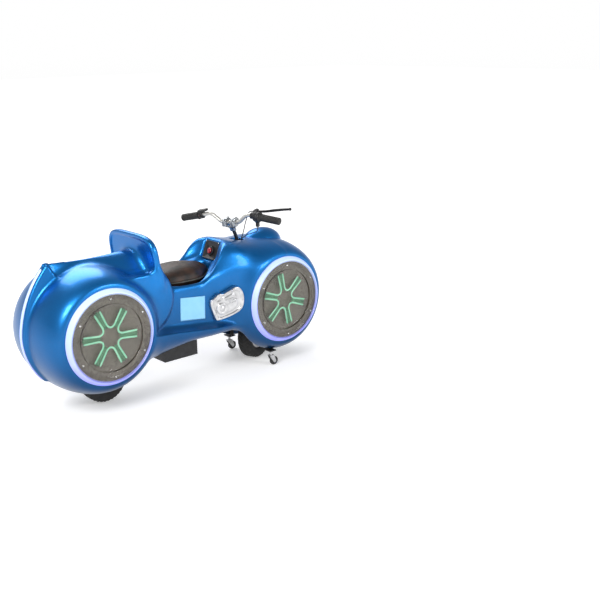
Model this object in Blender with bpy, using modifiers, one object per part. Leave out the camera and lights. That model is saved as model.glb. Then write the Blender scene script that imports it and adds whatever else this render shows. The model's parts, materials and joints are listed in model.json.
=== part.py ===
"""Battery ride-on motorcycle for fairs and shopping centres.

A glass-fibre body with two barrel-shaped pods stands on one driven front wheel, one rear wheel
and two swivel casters.  Metres, +X forward, +Y left, +Z up, origin on the floor under the middle of
the machine's box, which the turned handlebar draws a little to the right of the body.
"""

import math

import bmesh
import bpy
import numpy as np

# Clearances and walls
GAP = 0.0003                  # between pieces that touch
SHELL_WALL = 0.005            # laminate of the body

# Pods: barrels that lie across the machine
REAR_POD_X = -0.564
REAR_BELLY_Z = 0.093          # lowest line of the rear pod above the floor
FRONT_POD_X = 0.584
FRONT_BELLY_Z = 0.064
POD_R = 0.336
POD_FACE_R = 0.256            # flat round side face
POD_HALF_WIDTH = 0.250

# Waist and tank between the pods
WAIST_X = -0.01               # middle of the narrow stretch
WAIST_STRAIGHT = 0.130        # half of the narrow stretch
WAIST_HALF_WIDTH = 0.186
FLARE_HALF_WIDTH = 0.240      # where the waist runs into the pods
FLARE_LENGTH = 0.360
WAIST_BOTTOM_Z = 0.260
SKIRT_DIP = 0.044             # the lower edge hangs this much lower at the rear
SKIRT_DIP_LENGTH = 0.270
WAIST_MIDDLE_Z = 0.440
WAIST_REACH = 0.160           # how far the waist runs into the rear pod
RIM_Z = 0.598                 # edge of the seat well
RIM_EXPONENT = 5.0
TANK_EXPONENT = 3.0
BOX_EXPONENT = 6.0
HORN_START_X = 0.060          # the tank's horns rise beside the front of the seat
HORN_END_X = 0.195
HORN_Z = 0.700
TANK_TOP_X = 0.320
TANK_TOP_Z = 0.750
TANK_END_X = 0.554            # the tank's line sinks into the front pod here
TANK_END_Z = 0.715
FOOTBOARD_Z = 0.334           # crest under the origin
FOOTBOARD_SLOPE = 0.12        # fall of the crest towards the front
FOOTBOARD_BULGE = 0.050
FOOTBOARD_ABOVE = 0.040       # reach of the bulge upwards
FOOTBOARD_BELOW = 0.085       # reach of the bulge downwards
FOOTBOARD_REAR_X = -0.32
FOOTBOARD_FRONT_X = 0.20
FOOTBOARD_RUN_OUT = 1.6       # the bulge ends at this share of its half length
TUNNEL_SLACK = 0.004          # extra laminate round the hollow of the waist

# Shoulders beside the seat, tail fairing, backrest and tail ridge
SHOULDER_X = -0.326           # middle of their round side outline
SHOULDER_Z = 0.556
SHOULDER_R = 0.1815
SHOULDER_HALF_WIDTH = 0.204
SHOULDER_ROUND = 0.022
SHOULDER_TOP_Z = 0.697        # flat shelf behind the backrest
COWL_TAIL_X = -0.776
COWL_TAIL_HALF_WIDTH = 0.016
COWL_TAIL_Z = 0.801
COWL_MIDDLE_X = -0.560
COWL_MIDDLE_HALF_WIDTH = 0.085
COWL_MIDDLE_Z = 0.786
COWL_HEAD_HALF_WIDTH = 0.135
COWL_HEAD_Z = 0.800
COWL_DEPTH = 0.110            # the fairing's sides end this far below its ridge
COWL_PEAK = 1.25              # power of its arch
BACKREST_X = -0.207           # front face at its foot
BACKREST_FOOT_Z = 0.570
BACKREST_TOP_Z = 0.898
BACKREST_HALF_WIDTH = 0.224
BACKREST_THICKNESS = 0.036
BACKREST_LEAN = 7.0           # degrees
BACKREST_ROUND = 0.012
BACKREST_CORNER = 0.45        # power of its rounded outline
BACKREST_TRAY_RIM = 0.022
BACKREST_TRAY_DEPTH = 0.010
RIDGE_START = 119.0           # angles about the rear pod, degrees from straight ahead
RIDGE_SETTLE = 172.0
RIDGE_END = 222.0
RIDGE_TOP_LIFT = 0.077        # above the tread at the start
RIDGE_LIFT = 0.020            # at its rearmost
RIDGE_END_SHARE = 0.5         # of that lift, left at the end
RIDGE_HALF_WIDTH = 0.034
RIDGE_SHOULDER = 0.016        # depths of the section's corners below the crest
RIDGE_ROUND = 0.003
STRIP_START = 122.0
STRIP_END = 220.0
STRIP_WIDTH = 0.022
STRIP_THICKNESS = 0.012
STRIP_PROUD = 0.004

# Lighted wheel discs on the pods
RING_R = 0.250
RING_TOP_R = 0.2325
RING_HEIGHT = 0.026
RING_WALL = 0.006
RING_LIP = 0.0035
RING_LEDGE = 0.007
COVER_SHEET = 0.003
COVER_PAN_R = 0.176
COVER_PAN_DEPTH = 0.020
COVER_TAPER = 0.004
COVER_SINK = 0.0005           # below the ring's top
PAN_FLANGE = 0.0025
PAN_DEPTH = 0.030
PAN_WALL = 0.0025
PAN_TAPER = 0.010
PAN_CLEARANCE = 0.002
DISC_OPENING_R = 0.230
SPOKE_TIP_R = 0.164
SPOKE_HUB_R = 0.048
SPOKE_TIP_HALF = 0.022
SPOKE_ROOT_HALF = 0.010
SPOKE_SHEET = 0.003
SPOKE_COUNT = 6
SPOKE_STANDOFF_R = 0.012

# Seat and dashboard
WELL_REAR_X = -0.192
WELL_FRONT_X = 0.228
WELL_HALF_WIDTH = 0.158
WELL_FRONT_HALF_WIDTH = 0.068
WELL_CORNER = 0.7             # power of its rounded outline
WELL_TAPER = 1.5              # power of its narrowing towards the tank
WELL_FLOOR_Z = 0.560
SEAT_BOARD = 0.012
SEAT_CLEARANCE = 0.004
SEAT_TOP_Z = 0.664
SEAT_FALL = 0.10              # share of the height lost towards the ends
DASH_X = 0.250                # face of the dashboard at mid height
DASH_Z = 0.703
DASH_TILT = 20.0              # degrees from upright
DASH_WIDTH = 0.124
DASH_HEIGHT = 0.104
DASH_SHEET = 0.008
DASH_MARGIN = 0.004
DASH_RECESS = 0.120           # length of the recess towards the rider
BUTTON_R = 0.0165
BUTTON_STEM_R = 0.010
BUTTON_HEAD = 0.009
BUTTON_TRAVEL = 0.005
BUTTON_DROP = 0.004

# Dome on the nose and casting on the flank
DOME_X = 0.624
DOME_SINK = 0.042             # its middle below the top of the front pod
DOME_LENGTH = 0.256
DOME_WIDTH = 0.196
DOME_HEIGHT = 0.088
ENGINE_X = 0.188
ENGINE_Z = 0.440
ENGINE_PROUD = 0.016
ENGINE_DEPTH = 0.060          # of the casting before it is trimmed to the flank
ENGINE_BOSS_R = 0.034
ENGINE_BOSS_X = -0.030
ENGINE_BOSS_Z = -0.018
ENGINE_BOSS_PROUD = 0.007
ENGINE_OUTLINE = ((-0.100, 0.028), (-0.062, 0.048), (-0.042, 0.066), (-0.022, 0.058), (0.012, 0.072),
                  (0.062, 0.094), (0.090, 0.066), (0.101, 0.020), (0.090, -0.036), (0.040, -0.062),
                  (-0.056, -0.084), (-0.068, -0.070))

# Chassis
RAIL_Y = 0.085
RAIL_WIDTH = 0.030
RAIL_HEIGHT = 0.040
RAIL_LIFT = 0.006             # rails above the lower edge of the waist
RAIL_REAR_X = -0.610
RAIL_FRONT_X = 0.330
CROSS_SIZE = 0.030
POST_SIZE = 0.025
POST_REAR_X = -0.110
POST_FRONT_X = 0.110
DROPOUT_LENGTH = 0.070
DROPOUT_SHEET = 0.008
DROPOUT_BELOW = 0.030         # under the axle
NECK_SIZE = 0.044
HEAD_TUBE_R = 0.024
HEAD_TUBE_LOW = 0.240         # heights along the steering axis, from the front axle
HEAD_TUBE_HIGH = 0.500
BEARING_HEIGHT = 0.012
HEAD_BORE_PLAY = 0.003
UNDER_MARGIN = 0.006          # underside opening beside the narrow waist
UNDER_RISE = 0.012            # and above its lower edge
UNDER_BEHIND = 0.050          # behind the battery box
UNDER_AHEAD = 0.080           # ahead of the front tyre
ARCH_AHEAD = 0.030            # rear wheel arch before and behind the tyre
ARCH_BESIDE = 0.055
ARCH_TOP_Z = 0.200

# Battery box, batteries and controller
BOX_REAR_X = -0.169
BOX_LENGTH = 0.216
BOX_HALF_WIDTH = 0.118
BOX_DEPTH = 0.104
BOX_SHEET = 0.002
BATTERY_WIDTH = 0.151
BATTERY_APART = 0.006
BATTERY_SLACK = 0.005         # to the end walls of the box
BATTERY_HEADROOM = 0.008
CONTROLLER_LENGTH = 0.060
CONTROLLER_WIDTH = 0.110
CONTROLLER_HEIGHT = 0.042
CONTROLLER_FINS = 6
CONTROLLER_FIN_SHARE = 0.35   # depth of the fins in its height
CONTROLLER_BEHIND = 0.100     # behind the battery box

# Wheels
WHEEL_R = 0.127
TYRE_WIDTH = 0.078
TYRE_BEAD_R = 0.070
TYRE_ROUND = 0.016            # shoulder radius
TYRE_BEAD_SHARE = 0.75        # of the tyre's width at its bead
RIM_SHARE = 0.72              # of the tyre's width on the hub
RIM_WALL = 0.010
REAR_WEB_HALF = 0.008
MOTOR_WEB_HALF = 0.024
HUB_WALL = 0.012
HUB_TAPER = 0.002
REAR_AXLE_X = -0.490
FRONT_AXLE_X = 0.547
AXLE_R = 0.008
AXLE_PROUD = 0.012
HUB_HALF_WIDTH = 0.034
BORE_CLEARANCE = 0.0003

# Steering
RAKE = 10.0                   # degrees
STEER_REST = 17.5             # the bar stands turned to the left by this many degrees
COLUMN_R = 0.014
COLUMN_TOP = 0.610
STEERING_HOLE_R = 0.043
STEERING_HOLE_TOP = 0.750
FORK_INNER_HALF = 0.050
FORK_LEG = 0.008
FORK_LEG_WIDTH = 0.034
FORK_CLEARANCE = 0.020        # above the tyre
FORK_CROWN = 0.012
FORK_TAIL = 0.022

# Handlebar, in the steering frame
BAR_R = 0.011
BAR_X = -0.030
BAR_Z = 0.734
BAR_STRAIGHT = 0.040
BAR_SHOULDER_Y = 0.140
BAR_SHOULDER_Z = 0.781
GRIP_DROOP = 9.2              # degrees
BAR_REACH = 0.196             # straight end, from the shoulder
STEM_R = 0.013
STEM_RISE = 0.020             # straight foot on the column
STEM_BLOCK = 0.058
STEM_BLOCK_SHARE = 1.2        # width of the block in its length
STEM_BLOCK_DROP = 0.004
STEM_BLOCK_ROUND = 0.011
GRIP_R = 0.0175
GRIP_LENGTH = 0.128
GRIP_FLANGE_R = 0.023
GRIP_END_WALL = 0.004
GRIP_END_ROUND = 0.005
GRIP_FLANGE = 0.006
HOUSING_ROUND = 0.006
HOUSING_END_SHARE = 0.8
BOOT_LENGTH = 0.022
BOOT_WIDTH = 0.020
BOOT_WALL = 0.004             # of the housing between boot and bar
HOUSING_R = 0.029
HOUSING_LENGTH = 0.036
HOUSING_DROP = 0.058
PERCH_R = 0.019
PERCH_LENGTH = 0.024
PERCH_X = 0.044               # lever pivot ahead of the bar
PERCH_Y = 0.0125              # lever pivot above the bar
LEVER_ROOT_R = 0.009
LEVER_ROOT_HEIGHT = 0.012
LEVER_R = 0.0055
LEVER_ROUTE = ((0.002, 0.000, 0.004), (0.005, 0.000, 0.018), (0.011, 0.004, 0.048), (0.015, 0.018, 0.100),
               (0.013, 0.034, 0.155), (0.007, 0.050, 0.212))  # from its pivot, ahead, up and outwards
PERCH_SLOT = 0.060            # reach of the lever's slot
PERCH_ARM_STEP = 0.001
SWITCH_R = 0.022
SWITCH_LENGTH = 0.030
SWITCH_ARM = 0.062
SWITCH_ARM_WIDTH = 0.030
SWITCH_ARM_HEIGHT = 0.014
SWITCH_ARM_SINK = 0.005
SWITCH_ARM_STEP = 0.002
HORN_R = 0.007
HORN_PROUD = 0.004
HORN_DEPTH = 0.006
HORN_STEM_SHARE = 0.6         # of its stroke left under the button
CABLE_R = 0.0026
CABLE_LEAD = 0.012            # straight run out of the boot or perch
CABLE_SEAT = 0.006            # cable end behind the lever's root
CABLE_FOOT = 0.038            # below the column's top, where the cables lie along it
CABLE_STRAP = 0.006           # cable ends above the upper bearing
THROTTLE_BENDS = ((0.000, -0.120, 0.054), (0.012, -0.060, 0.030), (0.004, -0.030, 0.008),
                  (0.000, -0.020, -0.014))  # from that top
BRAKE_BENDS = ((0.020, -0.075, 0.120), (0.028, -0.040, 0.055), (0.024, -0.014, 0.000))

# Casters
CASTER_X = 0.510
CASTER_Y = 0.200
CASTER_REST = 180.0           # degrees: the wheels trail forwards
CASTER_R = 0.026
CASTER_WIDTH = 0.018
CASTER_TRAIL = 0.020
CASTER_PIN_R = 0.003
CASTER_STEM_R = 0.008
CASTER_SHEET = 0.003
CASTER_SIDE_PLAY = 0.001
CASTER_CROWN_Z = 0.060
CASTER_PLATE_Z = 0.090
CASTER_PLATE = 0.006
CASTER_PAD = 0.046
CASTER_CROWN_MARGIN = 0.008
CASTER_LEG_DROP = 0.010       # fork end below the wheel's pin
CASTER_LEG_TOE = 0.009        # fork end beyond the pin
CASTER_LEG_STEP = 0.006
CASTER_LEG_BEND = 0.012       # below the crown
CASTER_POST_Y = 0.176
CASTER_POST = 0.020
CASTER_ARM_HEIGHT = 0.028
CASTER_ARM_LIFT = 0.006       # arm above the bottom of the rail
CASTER_FOOT = 0.068           # length of the arm's foot on the rail
CASTER_TREAD_SHARE = 0.55     # of the wheel's width
CASTER_SHOULDER_SHARE = 0.85  # of its radius

TURN_STEPS = 26
POD_STEPS = 30
HOLLOW_STEPS = 20
WHEEL_STEPS = 24
FAR = 1.0                     # reach of cutters that go right through

for old in list(bpy.data.objects):
    bpy.data.objects.remove(old, do_unlink=True)

ride = bpy.data.collections.new("ride_on_motorcycle")
cutters = bpy.data.collections.new("cutters")
bpy.context.scene.collection.children.link(ride)
bpy.context.scene.collection.children.link(cutters)
machine = bpy.data.objects.new("machine", None)
ride.objects.link(machine)


def finish(name, colour, roughness, metallic=0.0, alpha=1.0):
    """A Principled material."""
    made = bpy.data.materials.new(name)
    made.use_nodes = True
    shader = made.node_tree.nodes["Principled BSDF"]
    shader.inputs["Base Color"].default_value = (*colour, 1.0)
    shader.inputs["Roughness"].default_value = roughness
    shader.inputs["Metallic"].default_value = metallic
    shader.inputs["Alpha"].default_value = alpha
    return made


BLUE = finish("blue_gelcoat", (0.02, 0.17, 0.55), 0.18, 0.35)
LAMP = finish("violet_lamp_plastic", (0.62, 0.66, 1.0), 0.35)
SMOKE = finish("smoked_acrylic", (0.20, 0.19, 0.17), 0.08, 0.0, 0.45)
PAN = finish("taupe_pan", (0.16, 0.15, 0.13), 0.5)
MINT = finish("mint_acrylic", (0.35, 0.75, 0.50), 0.3)
SEAT = finish("brown_black_leatherette", (0.03, 0.022, 0.018), 0.5)
BOARD = finish("seat_board", (0.25, 0.17, 0.09), 0.8)
BLACK = finish("black_plastic", (0.012, 0.012, 0.013), 0.5)
BLACK_STEEL = finish("black_painted_steel", (0.015, 0.015, 0.016), 0.45, 0.3)
RED = finish("red_plastic", (0.55, 0.03, 0.03), 0.35)
ALLOY = finish("polished_alloy", (0.75, 0.75, 0.76), 0.2, 1.0)
STEEL = finish("bright_steel", (0.60, 0.60, 0.61), 0.3, 1.0)
RUBBER = finish("black_rubber", (0.014, 0.013, 0.013), 0.8)
BATTERY = finish("battery_case", (0.05, 0.05, 0.055), 0.5)


def adopt(piece, material=None, parent=None, place=(0, 0, 0), turn=(0, 0, 0), smooth=None):
    """Puts an object into the part, or among the cutters where it has no material."""
    (ride if material else cutters).objects.link(piece)
    piece.location = place
    piece.rotation_euler = [math.radians(angle) for angle in turn]
    piece.parent = parent or machine
    if material:
        piece.data.materials.append(material)
    else:
        piece.hide_render = True
        piece.display_type = "WIRE"
    if smooth and piece.type == "MESH":
        piece.data.shade_smooth()
        piece.data.set_sharp_from_angle(angle=math.radians(smooth))
    return piece


def pivot(name, place=(0, 0, 0), turn=(0, 0, 0), parent=None):
    """An empty that carries the pieces of one axis."""
    empty = bpy.data.objects.new(name, None)
    ride.objects.link(empty)
    empty.location = place
    empty.rotation_euler = [math.radians(angle) for angle in turn]
    empty.parent = parent or machine
    return empty


def mesh_object(name, shape):
    """Wraps a finished bmesh, with its faces turned outwards, in a new object."""
    bmesh.ops.recalc_face_normals(shape, faces=shape.faces[:])
    mesh = bpy.data.meshes.new(name)
    shape.to_mesh(mesh)
    shape.free()
    return bpy.data.objects.new(name, mesh)


def block(name, size, centre=(0, 0, 0), **options):
    """A box about its centre."""
    shape = bmesh.new()
    bmesh.ops.create_cube(shape, size=1.0)
    bmesh.ops.scale(shape, vec=size, verts=shape.verts[:])
    bmesh.ops.translate(shape, vec=centre, verts=shape.verts[:])
    return adopt(mesh_object(name, shape), **options)


def rod(name, radius, low, high, sides=16, centre=(0, 0), **options):
    """A cylinder along its own Z axis between two heights."""
    shape = bmesh.new()
    bmesh.ops.create_cone(shape, cap_ends=True, segments=sides, radius1=radius, radius2=radius,
                          depth=high - low)
    bmesh.ops.translate(shape, vec=(*centre, (low + high) / 2), verts=shape.verts[:])
    return adopt(mesh_object(name, shape), smooth=40, **options)


def turned(name, profile, steps=TURN_STEPS, closed=True, **options):
    """A profile of radius and height points, turned about the object's Z axis."""
    points = list(profile)
    area = sum(a[0] * b[1] - b[0] * a[1] for a, b in zip(points, points[1:] + points[:1]))
    if area > 0:
        points.reverse()
    shape = bmesh.new()
    dots = [shape.verts.new((radius, 0.0, height)) for radius, height in points]
    for first, second in zip(dots, dots[1:] + (dots[:1] if closed else [])):
        shape.edges.new((first, second))
    mesh = bpy.data.meshes.new(name)
    shape.to_mesh(mesh)
    shape.free()
    piece = adopt(bpy.data.objects.new(name, mesh), **options)
    screw = piece.modifiers.new("turn", "SCREW")
    screw.steps = steps
    screw.render_steps = steps
    screw.use_merge_vertices = True
    screw.merge_threshold = 0.00005
    screw.use_smooth_shade = False
    return piece


def loft(name, sections, **options):
    """A closed body through closed sections that have the same number of points."""
    shape = bmesh.new()
    rings = [[shape.verts.new(point) for point in section] for section in sections]
    for first, second in zip(rings, rings[1:]):
        for here in range(len(first)):
            there = (here + 1) % len(first)
            shape.faces.new((first[here], first[there], second[there]))
            shape.faces.new((first[here], second[there], second[here]))
    shape.faces.new(rings[0])
    shape.faces.new(rings[-1])
    bmesh.ops.remove_doubles(shape, verts=shape.verts[:], dist=1e-6)
    return adopt(mesh_object(name, shape), **options)


def plate(name, outline, thickness, **options):
    """A flat outline in its own XY plane, with its thickness centred on the plane."""
    curve = bpy.data.curves.new(name, "CURVE")
    curve.dimensions = "2D"
    curve.fill_mode = "BOTH"
    curve.extrude = thickness / 2
    spline = curve.splines.new("POLY")
    spline.points.add(len(outline) - 1)
    for dot, (x, y) in zip(spline.points, outline):
        dot.co = (x, y, 0.0, 1.0)
    spline.use_cyclic_u = True
    return adopt(as_mesh(bpy.data.objects.new(name, curve)), **options)


def tube(name, points, radius, resolution=2, **options):
    """A round bar along a path."""
    curve = bpy.data.curves.new(name, "CURVE")
    curve.dimensions = "3D"
    curve.bevel_depth = radius
    curve.bevel_resolution = resolution
    curve.use_fill_caps = True
    spline = curve.splines.new("POLY")
    spline.points.add(len(points) - 1)
    for dot, point in zip(spline.points, points):
        dot.co = (*point, 1.0)
    return adopt(as_mesh(bpy.data.objects.new(name, curve)), smooth=50, **options)


def as_mesh(curve_object):
    """The mesh of a curve object, with its caps welded on."""
    bpy.context.scene.collection.objects.link(curve_object)
    graph = bpy.context.evaluated_depsgraph_get()
    mesh = bpy.data.meshes.new_from_object(curve_object.evaluated_get(graph))
    name = curve_object.name
    bpy.data.objects.remove(curve_object, do_unlink=True)
    shape = bmesh.new()
    shape.from_mesh(mesh)
    bpy.data.meshes.remove(mesh)
    bmesh.ops.remove_doubles(shape, verts=shape.verts[:], dist=1e-6)
    return mesh_object(name, shape)


def combine(piece, operation, *others):
    """Boolean modifiers on a piece, one for each other body."""
    for other in others:
        change = piece.modifiers.new(other.name, "BOOLEAN")
        change.operation = operation
        change.object = other


def smooth_path(points, count):
    """Points at even steps along a Hermite curve through the given ones."""
    knots = np.array(points, float)
    run = np.concatenate([[0.0], np.cumsum(np.linalg.norm(np.diff(knots, axis=0), axis=1))])
    slopes = np.gradient(knots, run, axis=0)
    places = np.linspace(0.0, run[-1], count)
    spans = np.clip(np.searchsorted(run, places, "right") - 1, 0, len(points) - 2)
    length = (run[spans + 1] - run[spans])[:, None]
    t = (places - run[spans])[:, None] / length
    return ((2 * t**3 - 3 * t**2 + 1) * knots[spans] + (t**3 - 2 * t**2 + t) * length * slopes[spans]
            + (3 * t**2 - 2 * t**3) * knots[spans + 1] + (t**3 - t**2) * length * slopes[spans + 1])


def smoothstep(value):
    """Rises from 0 to 1 with flat ends."""
    t = np.clip(value, 0.0, 1.0)
    return t * t * (3.0 - 2.0 * t)


# Body: two barrel pods with a waist and tank between them
def barrel_profile(inset, points=6):
    """Half section of a pod with flat sides and a rounded tread, some way inside its skin."""
    angles = np.linspace(0, math.pi / 2, points)
    half = POD_HALF_WIDTH - inset
    bulge = [(POD_FACE_R + (POD_R - inset - POD_FACE_R) * math.sin(angle), half * math.cos(angle))
             for angle in angles]
    return [(0, half), *bulge, *[(radius, -height) for radius, height in reversed(bulge[:-1])], (0, -half)]


def top_line(x):
    """Height of the waist and tank on the middle line: low rim, steep horns, then the tank."""
    horn = smoothstep((x - HORN_START_X) / (HORN_END_X - HORN_START_X))
    rise = smoothstep((x - HORN_START_X) / (TANK_TOP_X - HORN_START_X))
    ahead = np.clip((x - TANK_TOP_X) / (TANK_END_X - TANK_TOP_X), 0.0, 1.0)
    return RIM_Z + (HORN_Z - RIM_Z) * horn + (TANK_TOP_Z - HORN_Z) * rise + (TANK_END_Z - TANK_TOP_Z) * ahead


def bottom_line(x):
    """Lower edge of the waist, hanging lower towards the rear pod."""
    return WAIST_BOTTOM_Z - SKIRT_DIP * smoothstep((WAIST_X - x) / SKIRT_DIP_LENGTH)


def waist_flank(x):
    """Half width of the waist without its footboards."""
    flare = smoothstep((np.abs(x - WAIST_X) - WAIST_STRAIGHT) / FLARE_LENGTH)
    return WAIST_HALF_WIDTH + (FLARE_HALF_WIDTH - WAIST_HALF_WIDTH) * flare


def waist_section(x, inset, footboard):
    """Closed section of the waist: boxy below, arched above, with a footboard low on each side."""
    forward = smoothstep((x - HORN_START_X) / (TANK_TOP_X - HORN_START_X))
    arch = RIM_EXPONENT + (TANK_EXPONENT - RIM_EXPONENT) * forward
    up = np.array(UP_LEVELS)
    down = np.array(DOWN_LEVELS)
    top = top_line(x) - inset
    low = bottom_line(x) + inset
    z = np.concatenate([WAIST_MIDDLE_Z - (WAIST_MIDDLE_Z - low) * down,
                        WAIST_MIDDLE_Z + (top - WAIST_MIDDLE_Z) * up])
    fullness = np.concatenate([(1.0 - down**BOX_EXPONENT) ** (1.0 / BOX_EXPONENT),
                               (1.0 - up**arch) ** (1.0 / arch)])
    middle = (FOOTBOARD_REAR_X + FOOTBOARD_FRONT_X) / 2
    along = abs(x - middle) / ((FOOTBOARD_FRONT_X - FOOTBOARD_REAR_X) / 2)
    crest = FOOTBOARD_Z - FOOTBOARD_SLOPE * x
    reach = np.where(z > crest, FOOTBOARD_ABOVE, FOOTBOARD_BELOW)
    bulge = footboard * np.exp(-((z - crest) / reach) ** 2) * smoothstep(FOOTBOARD_RUN_OUT - along)
    y = (waist_flank(x) - inset + bulge) * fullness
    right = np.column_stack([np.full(len(z), x), -y, z])
    left = right[::-1] * (1, -1, 1)
    return np.concatenate([[(x, 0, low)], right, [(x, 0, top)], left])


def waist_loft(name, inset, footboard, **options):
    """The waist from inside the rear pod to inside the front pod."""
    stations = np.linspace(REAR_POD_X + POD_R - WAIST_REACH, TANK_END_X, 17)
    return loft(name, [waist_section(x, inset, footboard) for x in stations], **options)


REAR_POD_Z = REAR_BELLY_Z + POD_R
FRONT_POD_Z = FRONT_BELLY_Z + POD_R
POD_PLACES = (("rear", (REAR_POD_X, 0, REAR_POD_Z)), ("front", (FRONT_POD_X, 0, FRONT_POD_Z)))
UP_LEVELS = (0.0, 0.3, 0.55, 0.75, 0.88, 0.96, 0.99)
DOWN_LEVELS = (0.99, 0.95, 0.85, 0.72, 0.62, 0.52, 0.40, 0.2)

body_shell = waist_loft("body_shell", 0.0, FOOTBOARD_BULGE, material=BLUE, smooth=35)
cavity = waist_loft("cavity", SHELL_WALL + TUNNEL_SLACK, 0.0)
for end, place in POD_PLACES:
    combine(body_shell, "UNION", turned(f"{end}_pod", barrel_profile(0.0), steps=POD_STEPS, closed=False,
                                        place=place, turn=(90, 0, 0)))
    combine(cavity, "UNION", turned(f"{end}_barrel", barrel_profile(SHELL_WALL, 4), steps=HOLLOW_STEPS,
                                    closed=False, place=place, turn=(90, 0, 0)))


# Shoulders: a barrel between waist and rear pod, with a flat shelf on top
def shoulder_profile(inset, points):
    """Half section of the barrel with rounded rims, some way inside its skin."""
    outer = SHOULDER_R - inset
    half = SHOULDER_HALF_WIDTH - inset
    angles = np.linspace(0, math.pi / 2, points)
    edge = [(outer - SHOULDER_ROUND * (1.0 - math.sin(angle)),
             half - SHOULDER_ROUND * (1.0 - math.cos(angle))) for angle in angles]
    return [(0, half), *edge, *[(radius, -height) for radius, height in reversed(edge)], (0, -half)]


for bulk, name, inset, points in ((body_shell, "shoulder_skin", 0.0, 4),
                                  (cavity, "shoulder_hollow", SHELL_WALL, 2)):
    barrel = turned(name, shoulder_profile(inset, points), steps=HOLLOW_STEPS, closed=False,
                    place=(SHOULDER_X, 0, SHOULDER_Z), turn=(90, 0, 0))
    shelf = block(f"{name}_shelf", (FAR, FAR, FAR), (SHOULDER_X, 0, SHOULDER_TOP_Z - inset + FAR / 2))
    combine(barrel, "DIFFERENCE", shelf)
    combine(bulk, "UNION", barrel)


# Tail fairing: a peaked spine that narrows to a beak
def cowl_section(x, half, ridge_z):
    """A peaked arch of nine points with a flat underside."""
    angles = np.linspace(0, math.pi, 9)
    y = half * np.cos(angles)
    z = ridge_z - COWL_DEPTH * (1.0 - np.sin(angles) ** COWL_PEAK)
    return np.stack([np.full(len(angles), x), y, z], 1)


backrest_rear_x = BACKREST_X - BACKREST_THICKNESS
cowl_stations = np.array([
    (COWL_TAIL_X, COWL_TAIL_HALF_WIDTH, COWL_TAIL_Z),
    (COWL_MIDDLE_X, COWL_MIDDLE_HALF_WIDTH, COWL_MIDDLE_Z),
    (backrest_rear_x, COWL_HEAD_HALF_WIDTH, COWL_HEAD_Z)])
cowl = loft("cowl", [cowl_section(*station) for station in smooth_path(cowl_stations, 9)])


# Backrest: a rounded panel with a shallow tray in its rear face
def panel_ring(inset, back):
    """A rounded outline on the leaning panel, some way in from its edge."""
    angles = np.linspace(0, 2 * math.pi, 33)[:-1]
    middle = (BACKREST_FOOT_Z + BACKREST_TOP_Z) / 2
    cosine, sine = np.cos(angles), np.sin(angles)
    y = (BACKREST_HALF_WIDTH - inset) * np.sign(cosine) * np.abs(cosine) ** BACKREST_CORNER
    z = middle + (BACKREST_TOP_Z - middle - inset) * np.sign(sine) * np.abs(sine) ** BACKREST_CORNER
    x = BACKREST_X - back - (z - BACKREST_FOOT_Z) * math.tan(math.radians(BACKREST_LEAN))
    return np.stack([x, y, z], 1)


rear = BACKREST_THICKNESS
rim = BACKREST_TRAY_RIM
backrest = loft("backrest", [
    panel_ring(BACKREST_ROUND, 0.0), panel_ring(0.0, BACKREST_ROUND),
    panel_ring(0.0, rear - BACKREST_ROUND), panel_ring(BACKREST_ROUND, rear),
    panel_ring(rim, rear), panel_ring(rim + BACKREST_TRAY_DEPTH, rear - BACKREST_TRAY_DEPTH)])


# Tail ridge, its lamp groove and the lamp strip
def ridge_radius(angles):
    """Crest of the ridge about the rear pod, from the beak down to the running height."""
    rise = np.clip((math.radians(RIDGE_SETTLE) - angles)
                   / math.radians(RIDGE_SETTLE - RIDGE_START), 0.0, 1.0)
    fall = smoothstep((angles - math.radians(RIDGE_SETTLE))
                      / math.radians(RIDGE_END - RIDGE_SETTLE))
    lift = RIDGE_LIFT * (1.0 - (1.0 - RIDGE_END_SHARE) * fall)
    return POD_R + lift + (RIDGE_TOP_LIFT - RIDGE_LIFT) * rise**2


def rail_sections(start, stop, count, shape_points):
    """Sections of depth below the crest and sideways offset, carried along the ridge."""
    sections = []
    for angle in np.linspace(math.radians(start), math.radians(stop), count):
        crest = ridge_radius(np.array(angle))
        radii = np.array([crest - depth for depth, _ in shape_points])
        sections.append([(REAR_POD_X + radius * math.cos(angle), offset,
                          REAR_POD_Z + radius * math.sin(angle))
                         for radius, (_, offset) in zip(radii, shape_points)])
    return sections


def strip_outline(top, bottom, half):
    """A rectangular section between two depths."""
    return [(bottom, half), (top, half), (top, -half), (bottom, -half)]


ridge_foot = RIDGE_TOP_LIFT + SHELL_WALL
ridge_half = [(ridge_foot, RIDGE_HALF_WIDTH * 1.5), (RIDGE_SHOULDER, RIDGE_HALF_WIDTH),
              (RIDGE_ROUND, RIDGE_HALF_WIDTH * 0.7), (0.0, RIDGE_HALF_WIDTH * 0.4)]
ridge = loft("tail_ridge", rail_sections(RIDGE_START, RIDGE_END, 14, ridge_half + [
    (depth, -offset) for depth, offset in reversed(ridge_half)]))
strip_slack = math.degrees(GAP / POD_R)
strip_floor = STRIP_THICKNESS - STRIP_PROUD
groove_shape = strip_outline(-2 * STRIP_PROUD, strip_floor + GAP, STRIP_WIDTH / 2 + GAP)
groove = loft("strip_groove", rail_sections(STRIP_START - strip_slack, STRIP_END + strip_slack, 17,
                                            groove_shape))
tail_light_strip = loft("tail_light_strip", rail_sections(STRIP_START, STRIP_END, 17, strip_outline(
    -STRIP_PROUD, strip_floor, STRIP_WIDTH / 2)), material=LAMP)


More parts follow.
